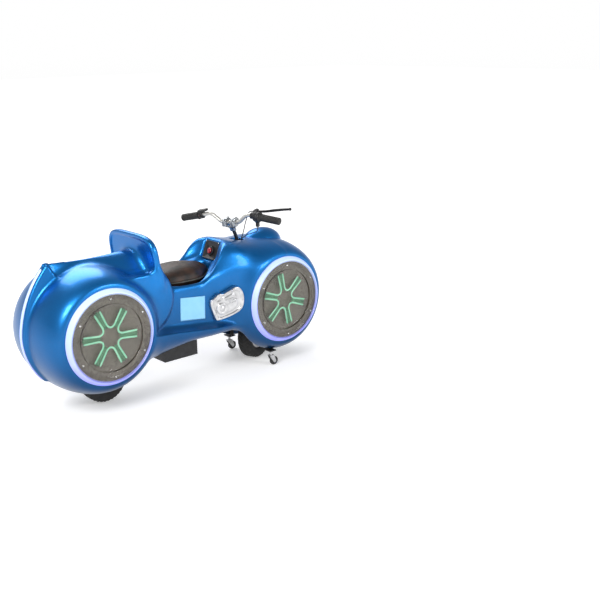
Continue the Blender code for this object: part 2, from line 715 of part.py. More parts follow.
# Seat well and dashboard recess
def well_outline(clear, count=28):
    """Egg-shaped plan of the seat well, blunt towards the tank, some way outside or inside."""
    angles = np.linspace(0, 2 * math.pi, count + 1)[:-1]
    middle = (WELL_REAR_X + WELL_FRONT_X) / 2
    length = (WELL_FRONT_X - WELL_REAR_X) / 2
    cosine, sine = np.cos(angles), np.sin(angles)
    along = np.sign(cosine) * np.abs(cosine) ** WELL_CORNER
    width = WELL_HALF_WIDTH + (WELL_FRONT_HALF_WIDTH - WELL_HALF_WIDTH) * smoothstep(along) ** WELL_TAPER
    x = middle + (length + clear) * along
    y = (width + clear) * np.sign(sine) * np.abs(sine) ** WELL_CORNER
    return np.stack([x, y], 1)


def prism(name, outline, low, high, **options):
    """An upright body over a plan outline."""
    return loft(name, [np.column_stack([outline, np.full(len(outline), level)])
                       for level in (low, high)], **options)


well_top = BACKREST_TOP_Z
well = prism("well", well_outline(0.0), WELL_FLOOR_Z, well_top)
well_liner = prism("well_liner", well_outline(SHELL_WALL), WELL_FLOOR_Z - SHELL_WALL, well_top)

dash_axis = pivot("dash_axis", (DASH_X, 0, DASH_Z), (0, DASH_TILT - 90, 0))
recess_width = DASH_WIDTH + 2 * DASH_MARGIN
recess_height = DASH_HEIGHT + 2 * DASH_MARGIN
recess_floor = -DASH_SHEET - GAP
dash_recess = block("dash_recess", (recess_height, recess_width, DASH_RECESS),
                    (0, 0, recess_floor + DASH_RECESS / 2), parent=dash_axis)
dash_liner = block("dash_liner", (recess_height + 2 * SHELL_WALL, recess_width + 2 * SHELL_WALL,
                                  DASH_RECESS), (0, 0, recess_floor - SHELL_WALL + DASH_RECESS / 2),
                   parent=dash_axis)

# Openings through the shell
disc_holes = [rod(f"{end}_disc_hole", DISC_OPENING_R, -FAR, FAR, sides=TURN_STEPS, place=place,
                  turn=(90, 0, 0)) for end, place in POD_PLACES]
under_half = WAIST_HALF_WIDTH + UNDER_MARGIN
under_rear = BOX_REAR_X - UNDER_BEHIND
under_front = FRONT_AXLE_X + WHEEL_R + UNDER_AHEAD
underside = block("underside", (under_front - under_rear, 2 * under_half, FAR),
                  ((under_front + under_rear) / 2, 0, WAIST_BOTTOM_Z + UNDER_RISE - FAR / 2))
rear_arch = block("rear_arch", (2 * (WHEEL_R + ARCH_AHEAD), TYRE_WIDTH + 2 * ARCH_BESIDE, FAR),
                  (REAR_AXLE_X, 0, ARCH_TOP_Z - FAR / 2))
steering_axis = pivot("steering_axis", (FRONT_AXLE_X, 0, WHEEL_R), (0, -RAKE, 0))
steering_hole = rod("steering_hole", STEERING_HOLE_R, HEAD_TUBE_HIGH, STEERING_HOLE_TOP, parent=steering_axis)

combine(cavity, "DIFFERENCE", well_liner, dash_liner)
combine(body_shell, "UNION", cowl, ridge, backrest)
combine(body_shell, "DIFFERENCE", *disc_holes, well, dash_recess, underside, rear_arch, steering_hole,
        groove, cavity)

# Lighted discs: ring, pan, spoke light and smoked cover on each side face
sleeve_r = RING_R - RING_WALL
cover_r = RING_TOP_R - RING_LIP
ledge_r = cover_r - RING_LEDGE
cover_top = RING_HEIGHT - COVER_SINK
cover_low = cover_top - COVER_SHEET
ledge_top = cover_low - GAP
ledge_low = ledge_top - COVER_SHEET
ring_slope = (RING_R - RING_TOP_R) / (RING_HEIGHT - GAP)
ring_profile = [(RING_R, GAP), (RING_TOP_R, RING_HEIGHT), (cover_r, RING_HEIGHT), (cover_r, ledge_top),
                (ledge_r, ledge_top), (ledge_r, ledge_low),
                (sleeve_r - ring_slope * (ledge_low - GAP), ledge_low), (sleeve_r, GAP)]
window_top = cover_top - COVER_PAN_DEPTH
window_low = window_top - COVER_SHEET
wall_r = COVER_PAN_R + COVER_SHEET
cover_profile = [(0, window_top), (COVER_PAN_R - COVER_TAPER, window_top), (COVER_PAN_R, cover_top),
                 (cover_r - GAP, cover_top), (cover_r - GAP, cover_low), (wall_r, cover_low),
                 (wall_r - COVER_TAPER, window_low), (0, window_low)]
pan_r = sleeve_r - ring_slope * PAN_FLANGE - 2 * GAP
dish_r = DISC_OPENING_R - PAN_CLEARANCE
pan_top = GAP + PAN_FLANGE
pan_floor = pan_top - PAN_DEPTH
pan_profile = [(0, pan_floor), (dish_r - PAN_WALL - PAN_TAPER, pan_floor), (dish_r - PAN_WALL, pan_top),
               (pan_r, pan_top), (pan_r, GAP), (dish_r, GAP), (dish_r - PAN_TAPER, pan_floor - PAN_WALL),
               (0, pan_floor - PAN_WALL)]
spoke_top = window_low - GAP
spoke_low = spoke_top - SPOKE_SHEET


def star_outline():
    """Six tapered spokes round a hub."""
    corners = []
    for index in range(SPOKE_COUNT):
        middle = 2 * math.pi * index / SPOKE_COUNT
        for side in (-1, 1):
            near = math.atan2(side * SPOKE_ROOT_HALF, SPOKE_HUB_R) + middle
            far = math.atan2(side * SPOKE_TIP_HALF, SPOKE_TIP_R) + middle
            pair = [(SPOKE_HUB_R * math.cos(near), SPOKE_HUB_R * math.sin(near)),
                    (SPOKE_TIP_R * math.cos(far), SPOKE_TIP_R * math.sin(far))]
            corners += pair if side < 0 else pair[::-1]
    return corners


for end, (pod_x, _, pod_z) in POD_PLACES:
    for side, sign in (("right", -1), ("left", 1)):
        face = pivot(f"{end}_{side}_face", (pod_x, sign * POD_HALF_WIDTH, pod_z), (-90 * sign, 0, 0))
        turned(f"led_ring_{end}_{side}", ring_profile, material=LAMP, parent=face)
        turned(f"disc_pan_{end}_{side}", pan_profile, closed=False, material=PAN, parent=face)
        turned(f"disc_cover_{end}_{side}", cover_profile, closed=False, material=SMOKE, parent=face)
        star = plate(f"spoke_light_{end}_{side}", star_outline(), SPOKE_SHEET, material=MINT,
                     parent=face, place=(0, 0, spoke_top - SPOKE_SHEET / 2))
        standoff = rod(f"standoff_{end}_{side}", SPOKE_STANDOFF_R, pan_floor + GAP,
                       spoke_low + SPOKE_SHEET / 2, sides=12, parent=face)
        combine(star, "UNION", standoff)

# Seat: a board in the well and a crowned cushion
board_low = WELL_FLOOR_Z + GAP
cushion_low = board_low + SEAT_BOARD + GAP
prism("seat_base", well_outline(-SEAT_CLEARANCE), board_low, board_low + SEAT_BOARD, material=BOARD)


def cushion_ring(shrink, share):
    """A ring of the cushion, drawn in towards the middle, at a share of its height."""
    plan = well_outline(-SEAT_CLEARANCE)
    middle = (WELL_REAR_X + WELL_FRONT_X) / 2
    plan = (plan - (middle, 0.0)) * (1.0 - shrink) + (middle, 0.0)
    away = (plan[:, 0] - middle) / (WELL_FRONT_X - WELL_REAR_X) * 2
    z = cushion_low + (SEAT_TOP_Z - cushion_low) * share * (1.0 - SEAT_FALL * away**2 * share)
    return np.column_stack([plan, z])


loft("seat_cushion", [cushion_ring(*pair) for pair in (
    (0.060, 0.0), (0.030, 0.12), (0.010, 0.34), (0.025, 0.54), (0.085, 0.72), (0.200, 0.86),
    (0.400, 0.95), (0.640, 0.99))], material=SEAT, smooth=50)

# Dashboard and its button
dash_panel = block("dash_panel", (DASH_HEIGHT, DASH_WIDTH, DASH_SHEET), (0, 0, -DASH_SHEET / 2),
                   material=BLACK, parent=dash_axis)
button_hole = rod("button_hole", BUTTON_STEM_R + BORE_CLEARANCE, -DASH_RECESS, DASH_RECESS,
                  centre=(-BUTTON_DROP, 0), parent=dash_axis)
combine(dash_panel, "DIFFERENCE", button_hole)
button_low = BUTTON_TRAVEL + GAP
turned("start_button", [(0, button_low + BUTTON_HEAD), (BUTTON_R * 0.75, button_low + BUTTON_HEAD),
                        (BUTTON_R, button_low + BUTTON_HEAD * 0.7), (BUTTON_R, button_low),
                        (BUTTON_STEM_R, button_low), (BUTTON_STEM_R, -DASH_SHEET + BUTTON_TRAVEL),
                        (0, -DASH_SHEET + BUTTON_TRAVEL)], steps=20, closed=False,
       material=RED, parent=dash_axis, place=(-BUTTON_DROP, 0, 0))

# Nose dome and flank castings, trimmed to the body they sit on
waist_skin = waist_loft("waist_skin", -GAP, FOOTBOARD_BULGE)
pod_skin = turned("pod_skin", barrel_profile(-GAP), steps=POD_STEPS, closed=False, place=POD_PLACES[1][1],
                  turn=(90, 0, 0))
shape = bmesh.new()
bmesh.ops.create_uvsphere(shape, u_segments=24, v_segments=12, radius=0.5)
bmesh.ops.scale(shape, vec=(DOME_LENGTH, DOME_WIDTH, 2 * DOME_HEIGHT), verts=shape.verts[:])
nose_dome = adopt(mesh_object("nose_dome", shape), material=BLUE, smooth=40,
                  place=(DOME_X, 0, FRONT_POD_Z + POD_R - DOME_SINK))
combine(nose_dome, "DIFFERENCE", waist_skin, pod_skin)

for side, sign in (("right", -1), ("left", 1)):
    flank = float(waist_flank(ENGINE_X))
    stand = pivot(f"engine_{side}_stand", (ENGINE_X, sign * flank, ENGINE_Z), (90, 0, 0))
    engine = plate(f"engine_cover_{side}", ENGINE_OUTLINE, ENGINE_DEPTH, material=ALLOY, parent=stand,
                   place=(0, 0, -sign * (ENGINE_PROUD - ENGINE_DEPTH / 2)))
    boss_out = -sign * (ENGINE_PROUD + ENGINE_BOSS_PROUD)
    boss = rod(f"engine_boss_{side}", ENGINE_BOSS_R, min(boss_out, 0.0), max(boss_out, 0.0), sides=24,
               centre=(ENGINE_BOSS_X, ENGINE_BOSS_Z), parent=stand)
    combine(engine, "UNION", boss)
    combine(engine, "DIFFERENCE", waist_skin, pod_skin)

# Chassis: rails, cross members, posts under the seat well, dropouts, neck and head tube
rail_bottom_z = WAIST_BOTTOM_Z + RAIL_LIFT
rail_middle_z = rail_bottom_z + RAIL_HEIGHT / 2
post_top = WELL_FLOOR_Z - SHELL_WALL - GAP
chassis = block("chassis_frame", (CROSS_SIZE, 2 * RAIL_Y, CROSS_SIZE),
                (RAIL_FRONT_X - CROSS_SIZE, 0, rail_middle_z), material=BLACK_STEEL)
members = []
controller_x = BOX_REAR_X - CONTROLLER_BEHIND
for x in (RAIL_REAR_X + CROSS_SIZE, controller_x):
    members.append(block("cross_member", (CROSS_SIZE, 2 * RAIL_Y, CROSS_SIZE), (x, 0, rail_middle_z)))
for sign in (-1, 1):
    members.append(block("rail", (RAIL_FRONT_X - RAIL_REAR_X, RAIL_WIDTH, RAIL_HEIGHT),
                         ((RAIL_FRONT_X + RAIL_REAR_X) / 2, sign * RAIL_Y, rail_middle_z)))
    drop_low = WHEEL_R - DROPOUT_BELOW
    members.append(block("dropout", (DROPOUT_LENGTH, DROPOUT_SHEET, rail_middle_z - drop_low),
                         (REAR_AXLE_X, sign * RAIL_Y, (rail_middle_z + drop_low) / 2)))
    for x in (POST_REAR_X, POST_FRONT_X):
        members.append(block("post", (POST_SIZE, POST_SIZE, post_top - rail_middle_z),
                             (x, sign * RAIL_Y, (post_top + rail_middle_z) / 2)))
head_middle = (HEAD_TUBE_LOW + HEAD_TUBE_HIGH) / 2
rake = math.radians(RAKE)
neck_start = np.array([RAIL_FRONT_X - CROSS_SIZE, 0, rail_middle_z])
neck_end = np.array([FRONT_AXLE_X - head_middle * math.sin(rake), 0, WHEEL_R + head_middle * math.cos(rake)])
neck_run = neck_end - neck_start
neck_length = float(np.hypot(neck_run[0], neck_run[2]))
members.append(block("neck", (neck_length, NECK_SIZE, NECK_SIZE), (neck_length / 2, 0, 0),
                     place=neck_start, turn=(0, -math.degrees(math.atan2(neck_run[2], neck_run[0])), 0)))
members.append(rod("head_tube", HEAD_TUBE_R, HEAD_TUBE_LOW, HEAD_TUBE_HIGH, sides=24,
                   parent=steering_axis))
combine(chassis, "UNION", *members)
head_bore = rod("head_bore", COLUMN_R + HEAD_BORE_PLAY, 0.0, FAR, sides=24, parent=steering_axis)
axle_bore = rod("axle_bore", AXLE_R + BORE_CLEARANCE, -FAR, FAR, place=(REAR_AXLE_X, 0, WHEEL_R),
                turn=(90, 0, 0))
combine(chassis, "DIFFERENCE", head_bore, axle_bore)

bearing_in = COLUMN_R + GAP
for end, low in (("lower", HEAD_TUBE_LOW - GAP - BEARING_HEIGHT), ("upper", HEAD_TUBE_HIGH + GAP)):
    turned(f"head_bearing_{end}", [(bearing_in, low + BEARING_HEIGHT), (HEAD_TUBE_R, low + BEARING_HEIGHT),
                                   (HEAD_TUBE_R, low), (bearing_in, low)], steps=16,
           material=STEEL, parent=steering_axis)

# Battery box hung under the rails, two batteries and the motor controller
box_top = rail_bottom_z - GAP
box_middle = BOX_REAR_X + BOX_LENGTH / 2
battery_box = block("battery_box", (BOX_LENGTH, 2 * BOX_HALF_WIDTH, BOX_DEPTH),
                    (box_middle, 0, box_top - BOX_DEPTH / 2), material=BLACK_STEEL)
box_inside = block("box_inside", (BOX_LENGTH - 2 * BOX_SHEET, 2 * (BOX_HALF_WIDTH - BOX_SHEET), BOX_DEPTH),
                   (box_middle, 0, box_top - BOX_DEPTH / 2 + BOX_SHEET))
combine(battery_box, "DIFFERENCE", box_inside)
battery_length = (BOX_LENGTH - 2 * BOX_SHEET - BATTERY_APART) / 2 - BATTERY_SLACK
battery_height = BOX_DEPTH - BOX_SHEET - BATTERY_HEADROOM
battery_z = box_top - BOX_DEPTH + BOX_SHEET + GAP + battery_height / 2
for end, sign in (("rear", -1), ("front", 1)):
    x = box_middle + sign * (battery_length + BATTERY_APART) / 2
    block(f"battery_{end}", (battery_length, BATTERY_WIDTH, battery_height), (x, 0, battery_z),
          material=BATTERY)
controller_z = rail_middle_z + CROSS_SIZE / 2 + GAP
controller = block("motor_controller", (CONTROLLER_LENGTH, CONTROLLER_WIDTH, CONTROLLER_HEIGHT),
                   (controller_x, 0, controller_z + CONTROLLER_HEIGHT / 2), material=ALLOY)
fin_depth = CONTROLLER_HEIGHT * CONTROLLER_FIN_SHARE
fin_pitch = CONTROLLER_WIDTH / (CONTROLLER_FINS + 0.5)
for index in range(CONTROLLER_FINS):
    y = -CONTROLLER_WIDTH / 2 + fin_pitch * (index + 0.75)
    slot = block(f"fin_slot_{index}", (2 * CONTROLLER_LENGTH, fin_pitch / 2, 2 * fin_depth),
                 (controller_x, y, controller_z + CONTROLLER_HEIGHT))
    combine(controller, "DIFFERENCE", slot)


# Wheels: a flat-treaded tyre on a dished hub
def tyre_profile():
    """A flat tread with round shoulders over straight sidewalls."""
    half = TYRE_WIDTH / 2
    flat = half - TYRE_ROUND
    angles = np.linspace(math.pi / 2, 0.0, 5)
    shoulder = [(WHEEL_R - TYRE_ROUND * (1.0 - math.cos(a)), flat + TYRE_ROUND * math.sin(a)) for a in angles]
    bead = half * TYRE_BEAD_SHARE
    return shoulder + [(r, -h) for r, h in reversed(shoulder)] + [(TYRE_BEAD_R, -bead), (TYRE_BEAD_R, bead)]


def hub_profile(web_half):
    """A hub with a waisted web and a rim that the tyre sits on."""
    rim_half = TYRE_WIDTH / 2 * RIM_SHARE
    rim_r = TYRE_BEAD_R - GAP
    bore = AXLE_R + BORE_CLEARANCE
    web_out = rim_r - RIM_WALL - HUB_TAPER
    web_in = bore + HUB_WALL + HUB_TAPER
    upper = [(bore, HUB_HALF_WIDTH), (bore + HUB_WALL, HUB_HALF_WIDTH), (web_in, web_half),
             (web_out, web_half), (rim_r - RIM_WALL, rim_half), (rim_r, rim_half)]
    return upper + [(r, -h) for r, h in reversed(upper)]


rear_axis = pivot("rear_wheel_axis", (REAR_AXLE_X, 0, WHEEL_R), (90, 0, 0))
turned("rear_tyre", tyre_profile(), steps=WHEEL_STEPS, material=RUBBER, parent=rear_axis)
turned("rear_hub", hub_profile(REAR_WEB_HALF), steps=WHEEL_STEPS, material=ALLOY, parent=rear_axis)
rear_axle_half = RAIL_Y + DROPOUT_SHEET / 2 + AXLE_PROUD
rod("rear_axle", AXLE_R, -rear_axle_half, rear_axle_half, material=STEEL, parent=rear_axis)

# Steering group: column, fork and driven front wheel
steering_turn = pivot("steering_turn", (0, 0, 0), (0, 0, STEER_REST), steering_axis)
front_axis = pivot("front_wheel_axis", (0, 0, 0), (90, 0, 0), steering_turn)
turned("front_tyre", tyre_profile(), steps=WHEEL_STEPS, material=RUBBER, parent=front_axis)
turned("front_hub_motor", hub_profile(MOTOR_WEB_HALF), steps=WHEEL_STEPS, material=ALLOY,
       parent=front_axis)
front_axle_half = FORK_INNER_HALF + FORK_LEG + AXLE_PROUD
rod("front_axle", AXLE_R, -front_axle_half, front_axle_half, material=STEEL, parent=front_axis)
crown_low = WHEEL_R + FORK_CLEARANCE
crown_top = crown_low + FORK_CROWN
fork = block("front_fork", (FORK_LEG_WIDTH, 2 * (FORK_INNER_HALF + FORK_LEG), FORK_CROWN),
             (0, 0, (crown_low + crown_top) / 2), material=BLACK_STEEL, parent=steering_turn)
for sign in (-1, 1):
    leg = block("fork_leg", (FORK_LEG_WIDTH, FORK_LEG, crown_top + FORK_TAIL),
                (0, sign * (FORK_INNER_HALF + FORK_LEG / 2), (crown_top - FORK_TAIL) / 2),
                parent=steering_turn)
    combine(fork, "UNION", leg)
fork_bore = rod("fork_bore", AXLE_R + BORE_CLEARANCE, -FAR, FAR, parent=front_axis)
combine(fork, "DIFFERENCE", fork_bore)
rod("steering_column", COLUMN_R, crown_top + GAP, COLUMN_TOP, material=STEEL, parent=steering_turn)

# Handlebar with its cast stem
droop = math.radians(GRIP_DROOP)
bar_end_y = BAR_SHOULDER_Y + BAR_REACH * math.cos(droop)
bar_end_z = BAR_SHOULDER_Z - BAR_REACH * math.sin(droop)
rise_y = (BAR_STRAIGHT + BAR_SHOULDER_Y) / 2
rise_z = (BAR_Z + BAR_SHOULDER_Z) / 2
bend = [(BAR_STRAIGHT, BAR_Z), (BAR_STRAIGHT * 0.5 + rise_y * 0.5, BAR_Z * 0.8 + rise_z * 0.2),
        (rise_y, rise_z), (BAR_SHOULDER_Y * 0.6 + rise_y * 0.4, BAR_SHOULDER_Z * 0.85 + rise_z * 0.15)]
half_bar = [(BAR_X, y, z) for y, z in [*bend, (BAR_SHOULDER_Y, BAR_SHOULDER_Z), (bar_end_y, bar_end_z)]]
bar_path = [(x, -y, z) for x, y, z in reversed(half_bar)] + half_bar
tube("handlebar_tube", bar_path, BAR_R, 2, material=ALLOY, parent=steering_turn)
stem = tube("handlebar_stem", [(0, 0, COLUMN_TOP + GAP), (0, 0, COLUMN_TOP + STEM_RISE), (BAR_X, 0, BAR_Z)],
            STEM_R, 3, material=ALLOY, parent=steering_turn)
clamp = block("stem_clamp", (STEM_BLOCK, STEM_BLOCK_SHARE * STEM_BLOCK, STEM_BLOCK),
              (BAR_X, 0, BAR_Z - STEM_BLOCK_DROP), parent=steering_turn)
edge = clamp.modifiers.new("edge", "BEVEL")
edge.width = STEM_BLOCK_ROUND
edge.segments = 2
bar_bore = rod("bar_bore", BAR_R + GAP, -FAR, FAR, place=(BAR_X, 0, BAR_Z), turn=(90, 0, 0),
               parent=steering_turn)
combine(stem, "UNION", clamp)
combine(stem, "DIFFERENCE", bar_bore)


def grip_profile(inner_r):
    """A closed-ended sleeve with a flange at its inner end."""
    top = BAR_REACH + GRIP_END_WALL
    low = top - GRIP_LENGTH
    return [(0, top), (GRIP_R - GRIP_END_ROUND, top), (GRIP_R, top - GRIP_END_ROUND),
            (GRIP_R, low + 2 * GRIP_FLANGE), (GRIP_FLANGE_R, low + GRIP_FLANGE), (GRIP_FLANGE_R, low),
            (inner_r, low), (inner_r, BAR_REACH + GAP), (0, BAR_REACH + GAP)]


grip_low = BAR_REACH + GRIP_END_WALL - GRIP_LENGTH
sleeve = BAR_R + GAP
right = pivot("right_grip_axis", (BAR_X, -BAR_SHOULDER_Y, BAR_SHOULDER_Z), (90 + GRIP_DROOP, 0, 0),
              steering_turn)
left = pivot("left_grip_axis", (BAR_X, BAR_SHOULDER_Y, BAR_SHOULDER_Z), (-90 - GRIP_DROOP, 0, 0),
             steering_turn)
turned("throttle_grip", grip_profile(sleeve), steps=16, closed=False, material=RUBBER, parent=right)
turned("left_grip", grip_profile(sleeve), steps=16, closed=False, material=RUBBER, parent=left)

# Throttle housing with its cable boot, brake perch and lever on the right
housing_high = grip_low - GAP
housing_low = housing_high - HOUSING_LENGTH
housing_end_r = HOUSING_R * HOUSING_END_SHARE
housing_profile = [(housing_end_r, housing_high), (HOUSING_R, housing_high - HOUSING_ROUND),
                   (HOUSING_R, housing_low + HOUSING_ROUND), (housing_end_r, housing_low),
                   (sleeve, housing_low), (sleeve, housing_high)]
housing = turned("throttle_housing", housing_profile, steps=20, material=BLACK, parent=right)
boot_z = (housing_low + housing_high) / 2
boot_top = sleeve + BOOT_WALL
boot = block("cable_boot", (BOOT_LENGTH, HOUSING_DROP - boot_top, BOOT_WIDTH),
             (0, -(HOUSING_DROP + boot_top) / 2, boot_z), parent=right)
combine(housing, "UNION", boot)

perch_high = housing_low - GAP
perch_low = perch_high - PERCH_LENGTH
perch = turned("brake_perch", [(PERCH_R, perch_high), (PERCH_R, perch_low), (sleeve, perch_low),
                               (sleeve, perch_high)], steps=20, material=BLACK, parent=right)
lever_z = (perch_low + perch_high) / 2
arm_start = (sleeve + PERCH_R) / 2
arm_end = PERCH_X + LEVER_ROOT_R
arm_low = PERCH_Y - LEVER_ROOT_HEIGHT
arm_high = PERCH_Y + LEVER_ROOT_HEIGHT
arm = block("perch_arm", (arm_end - arm_start, arm_high - arm_low, PERCH_LENGTH - 2 * PERCH_ARM_STEP),
            ((arm_start + arm_end) / 2, PERCH_Y, lever_z), parent=right)
slot = block("lever_slot", (PERCH_SLOT, LEVER_ROOT_HEIGHT + 2 * GAP, 2 * PERCH_SLOT),
             (PERCH_X - LEVER_ROOT_R - GAP + PERCH_SLOT / 2, PERCH_Y, lever_z), parent=right)
combine(perch, "UNION", arm)
combine(perch, "DIFFERENCE", slot)
lever_axis = pivot("lever_axis", (PERCH_X, PERCH_Y, lever_z), (-90, 0, 0), right)
lever = rod("brake_lever", LEVER_ROOT_R, -LEVER_ROOT_HEIGHT / 2, LEVER_ROOT_HEIGHT / 2,
            material=BLACK, parent=lever_axis)
blade = tube("lever_blade", [(x, -z, y) for x, y, z in smooth_path(LEVER_ROUTE, 11)], LEVER_R, 2,
             parent=lever_axis)
combine(lever, "UNION", blade)

# Switch pod with the horn button on the left
switch_high = grip_low - GAP
switch_low = switch_high - SWITCH_LENGTH
switch = turned("switch_pod", [(SWITCH_R, switch_high), (SWITCH_R, switch_low), (sleeve, switch_low),
                               (sleeve, switch_high)], steps=20, material=BLACK, parent=left)
arm_y = -(SWITCH_R + SWITCH_ARM_HEIGHT / 2 - SWITCH_ARM_SINK)
switch_arm = block("switch_arm", (SWITCH_ARM_WIDTH, SWITCH_ARM_HEIGHT, SWITCH_ARM),
                   (0, arm_y, switch_high - SWITCH_ARM / 2 - SWITCH_ARM_STEP), parent=left)
horn_z = (switch_high + switch_low) / 2
horn_axis = pivot("horn_axis", (0, 0, horn_z), (0, -90, 0), left)
horn_hole = rod("horn_hole", HORN_R + BORE_CLEARANCE, SWITCH_R - HORN_DEPTH, 2 * SWITCH_R, sides=16,
                parent=horn_axis)
combine(switch, "UNION", switch_arm)
combine(switch, "DIFFERENCE", horn_hole)
rod("horn_button", HORN_R, SWITCH_R - HORN_DEPTH + HORN_PROUD * HORN_STEM_SHARE, SWITCH_R + HORN_PROUD,
    sides=16, material=RED, parent=horn_axis)

# Cables: from the perch and the boot down beside the steering column
column_side = COLUMN_R + CABLE_R + 3 * GAP
strap_low = HEAD_TUBE_HIGH + BEARING_HEIGHT + CABLE_STRAP


def on_right_bar(x, y, z):
    """A point of the right grip's frame, in the steering frame."""
    angle = math.radians(90 + GRIP_DROOP)
    return (BAR_X + x, -BAR_SHOULDER_Y + y * math.cos(angle) - z * math.sin(angle),
            BAR_SHOULDER_Z + y * math.sin(angle) + z * math.cos(angle))


cable_gap = 2 * GAP
cable_foot = COLUMN_TOP - CABLE_FOOT
brake_x = PERCH_X - LEVER_ROOT_R - CABLE_SEAT
throttle_route = [on_right_bar(0, -HOUSING_DROP - cable_gap, boot_z),
                  on_right_bar(0, -HOUSING_DROP - CABLE_LEAD, boot_z),
                  *[(x, y, COLUMN_TOP + z) for x, y, z in THROTTLE_BENDS],
                  (0, -column_side, cable_foot), (0, -column_side, strap_low)]
brake_route = [on_right_bar(brake_x, PERCH_Y, perch_low + PERCH_ARM_STEP - cable_gap),
               on_right_bar(brake_x, PERCH_Y, perch_low - CABLE_LEAD),
               *[(x, y, COLUMN_TOP + z) for x, y, z in BRAKE_BENDS],
               (column_side, 0, cable_foot), (column_side, 0, strap_low)]
tube("throttle_cable", smooth_path(throttle_route, 26), CABLE_R, 1, material=BLACK, parent=steering_turn)
tube("brake_cable", smooth_path(brake_route, 26), CABLE_R, 1, material=BLACK, parent=steering_turn)

# Casters: a bracket from the rail, a swivelling fork and a wheel on each side
arm_low_z = rail_bottom_z + CASTER_ARM_LIFT
arm_top_z = arm_low_z + CASTER_ARM_HEIGHT
rail_side = RAIL_Y + RAIL_WIDTH / 2 + GAP
for side, sign in (("right", -1), ("left", 1)):
    post_in = CASTER_POST_Y - CASTER_POST / 2
    post_out = CASTER_POST_Y + CASTER_POST / 2
    post_rear = CASTER_X - CASTER_POST / 2
    post_front = CASTER_X + CASTER_POST / 2
    foot_rear = RAIL_FRONT_X - CASTER_FOOT
    arm_plan = [(foot_rear, rail_side), (RAIL_FRONT_X, rail_side), (post_front, post_in),
                (post_front, post_out), (post_rear, post_out), (foot_rear, rail_side + CASTER_POST)]
    bracket = prism(f"caster_bracket_{side}", np.array(arm_plan) * (1, sign), arm_low_z, arm_top_z,
                    material=BLACK_STEEL)
    post = block(f"caster_post_{side}", (CASTER_POST, CASTER_POST, arm_top_z - CASTER_PLATE_Z),
                 (CASTER_X, sign * CASTER_POST_Y, (arm_top_z + CASTER_PLATE_Z) / 2))
    pad_out = CASTER_Y + CASTER_PAD / 2
    pad = block(f"caster_pad_{side}", (CASTER_PAD, pad_out - post_in, CASTER_PLATE),
                (CASTER_X, sign * (pad_out + post_in) / 2, CASTER_PLATE_Z + CASTER_PLATE / 2))
    combine(bracket, "UNION", post, pad)
    swivel = pivot(f"caster_swivel_{side}", (CASTER_X, sign * CASTER_Y, 0), (0, 0, CASTER_REST))
    leg_y = CASTER_WIDTH / 2 + CASTER_SIDE_PLAY + CASTER_SHEET / 2
    crown_x = CASTER_STEM_R + CASTER_CROWN_MARGIN
    crown_top_z = CASTER_CROWN_Z + CASTER_SHEET
    caster = block(f"caster_fork_{side}", (2 * crown_x, 2 * leg_y + CASTER_SHEET, CASTER_SHEET),
                   (0, 0, crown_top_z - CASTER_SHEET / 2), material=STEEL, parent=swivel)
    leg_end_z = CASTER_R - CASTER_LEG_DROP
    leg_plan = [(crown_x, crown_top_z), (-crown_x, crown_top_z),
                (-CASTER_TRAIL - CASTER_LEG_TOE, leg_end_z + CASTER_LEG_STEP),
                (-CASTER_TRAIL - CASTER_LEG_TOE + CASTER_LEG_STEP, leg_end_z),
                (-CASTER_TRAIL + CASTER_LEG_STEP, leg_end_z),
                (crown_x - CASTER_LEG_STEP, CASTER_CROWN_Z - CASTER_LEG_BEND)]
    for leg_side in (-1, 1):
        leg = plate(f"caster_leg_{side}", leg_plan, CASTER_SHEET, parent=swivel,
                    place=(0, leg_side * leg_y, 0), turn=(90, 0, 0))
        combine(caster, "UNION", leg)
    wheel_axis = pivot(f"caster_axis_{side}", (-CASTER_TRAIL, 0, CASTER_R), (90, 0, 0), swivel)
    pin = rod(f"caster_pin_{side}", CASTER_PIN_R, -leg_y, leg_y, sides=12, parent=wheel_axis)
    stalk = rod(f"caster_stalk_{side}", CASTER_STEM_R, crown_top_z - CASTER_SHEET / 2, CASTER_PLATE_Z - GAP,
                sides=16, parent=swivel)
    combine(caster, "UNION", pin, stalk)
    half = CASTER_WIDTH / 2
    bore = CASTER_PIN_R + BORE_CLEARANCE
    tread = half * CASTER_TREAD_SHARE
    shoulder = CASTER_R * CASTER_SHOULDER_SHARE
    turned(f"caster_wheel_{side}", [(CASTER_R, tread), (CASTER_R, -tread), (shoulder, -half), (bore, -half),
                                    (bore, half), (shoulder, half)], steps=18, material=RUBBER,
           parent=wheel_axis)

# Origin under the middle of the machine's box
graph = bpy.context.evaluated_depsgraph_get()
corners = []
for piece in ride.objects:
    if piece.type == "MESH":
        seen = piece.evaluated_get(graph)
        points = np.empty(3 * len(seen.data.vertices))
        seen.data.vertices.foreach_get("co", points)
        world = np.array(seen.matrix_world)
        placed = points.reshape(-1, 3) @ world[:3, :3].T + world[:3, 3]
        corners += [placed.min(0), placed.max(0)]
low, high = np.min(corners, 0), np.max(corners, 0)
machine.location = (-(low[0] + high[0]) / 2, -(low[1] + high[1]) / 2, -low[2])
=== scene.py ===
"""Battery ride-on motorcycle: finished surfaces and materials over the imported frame."""

import json
import math

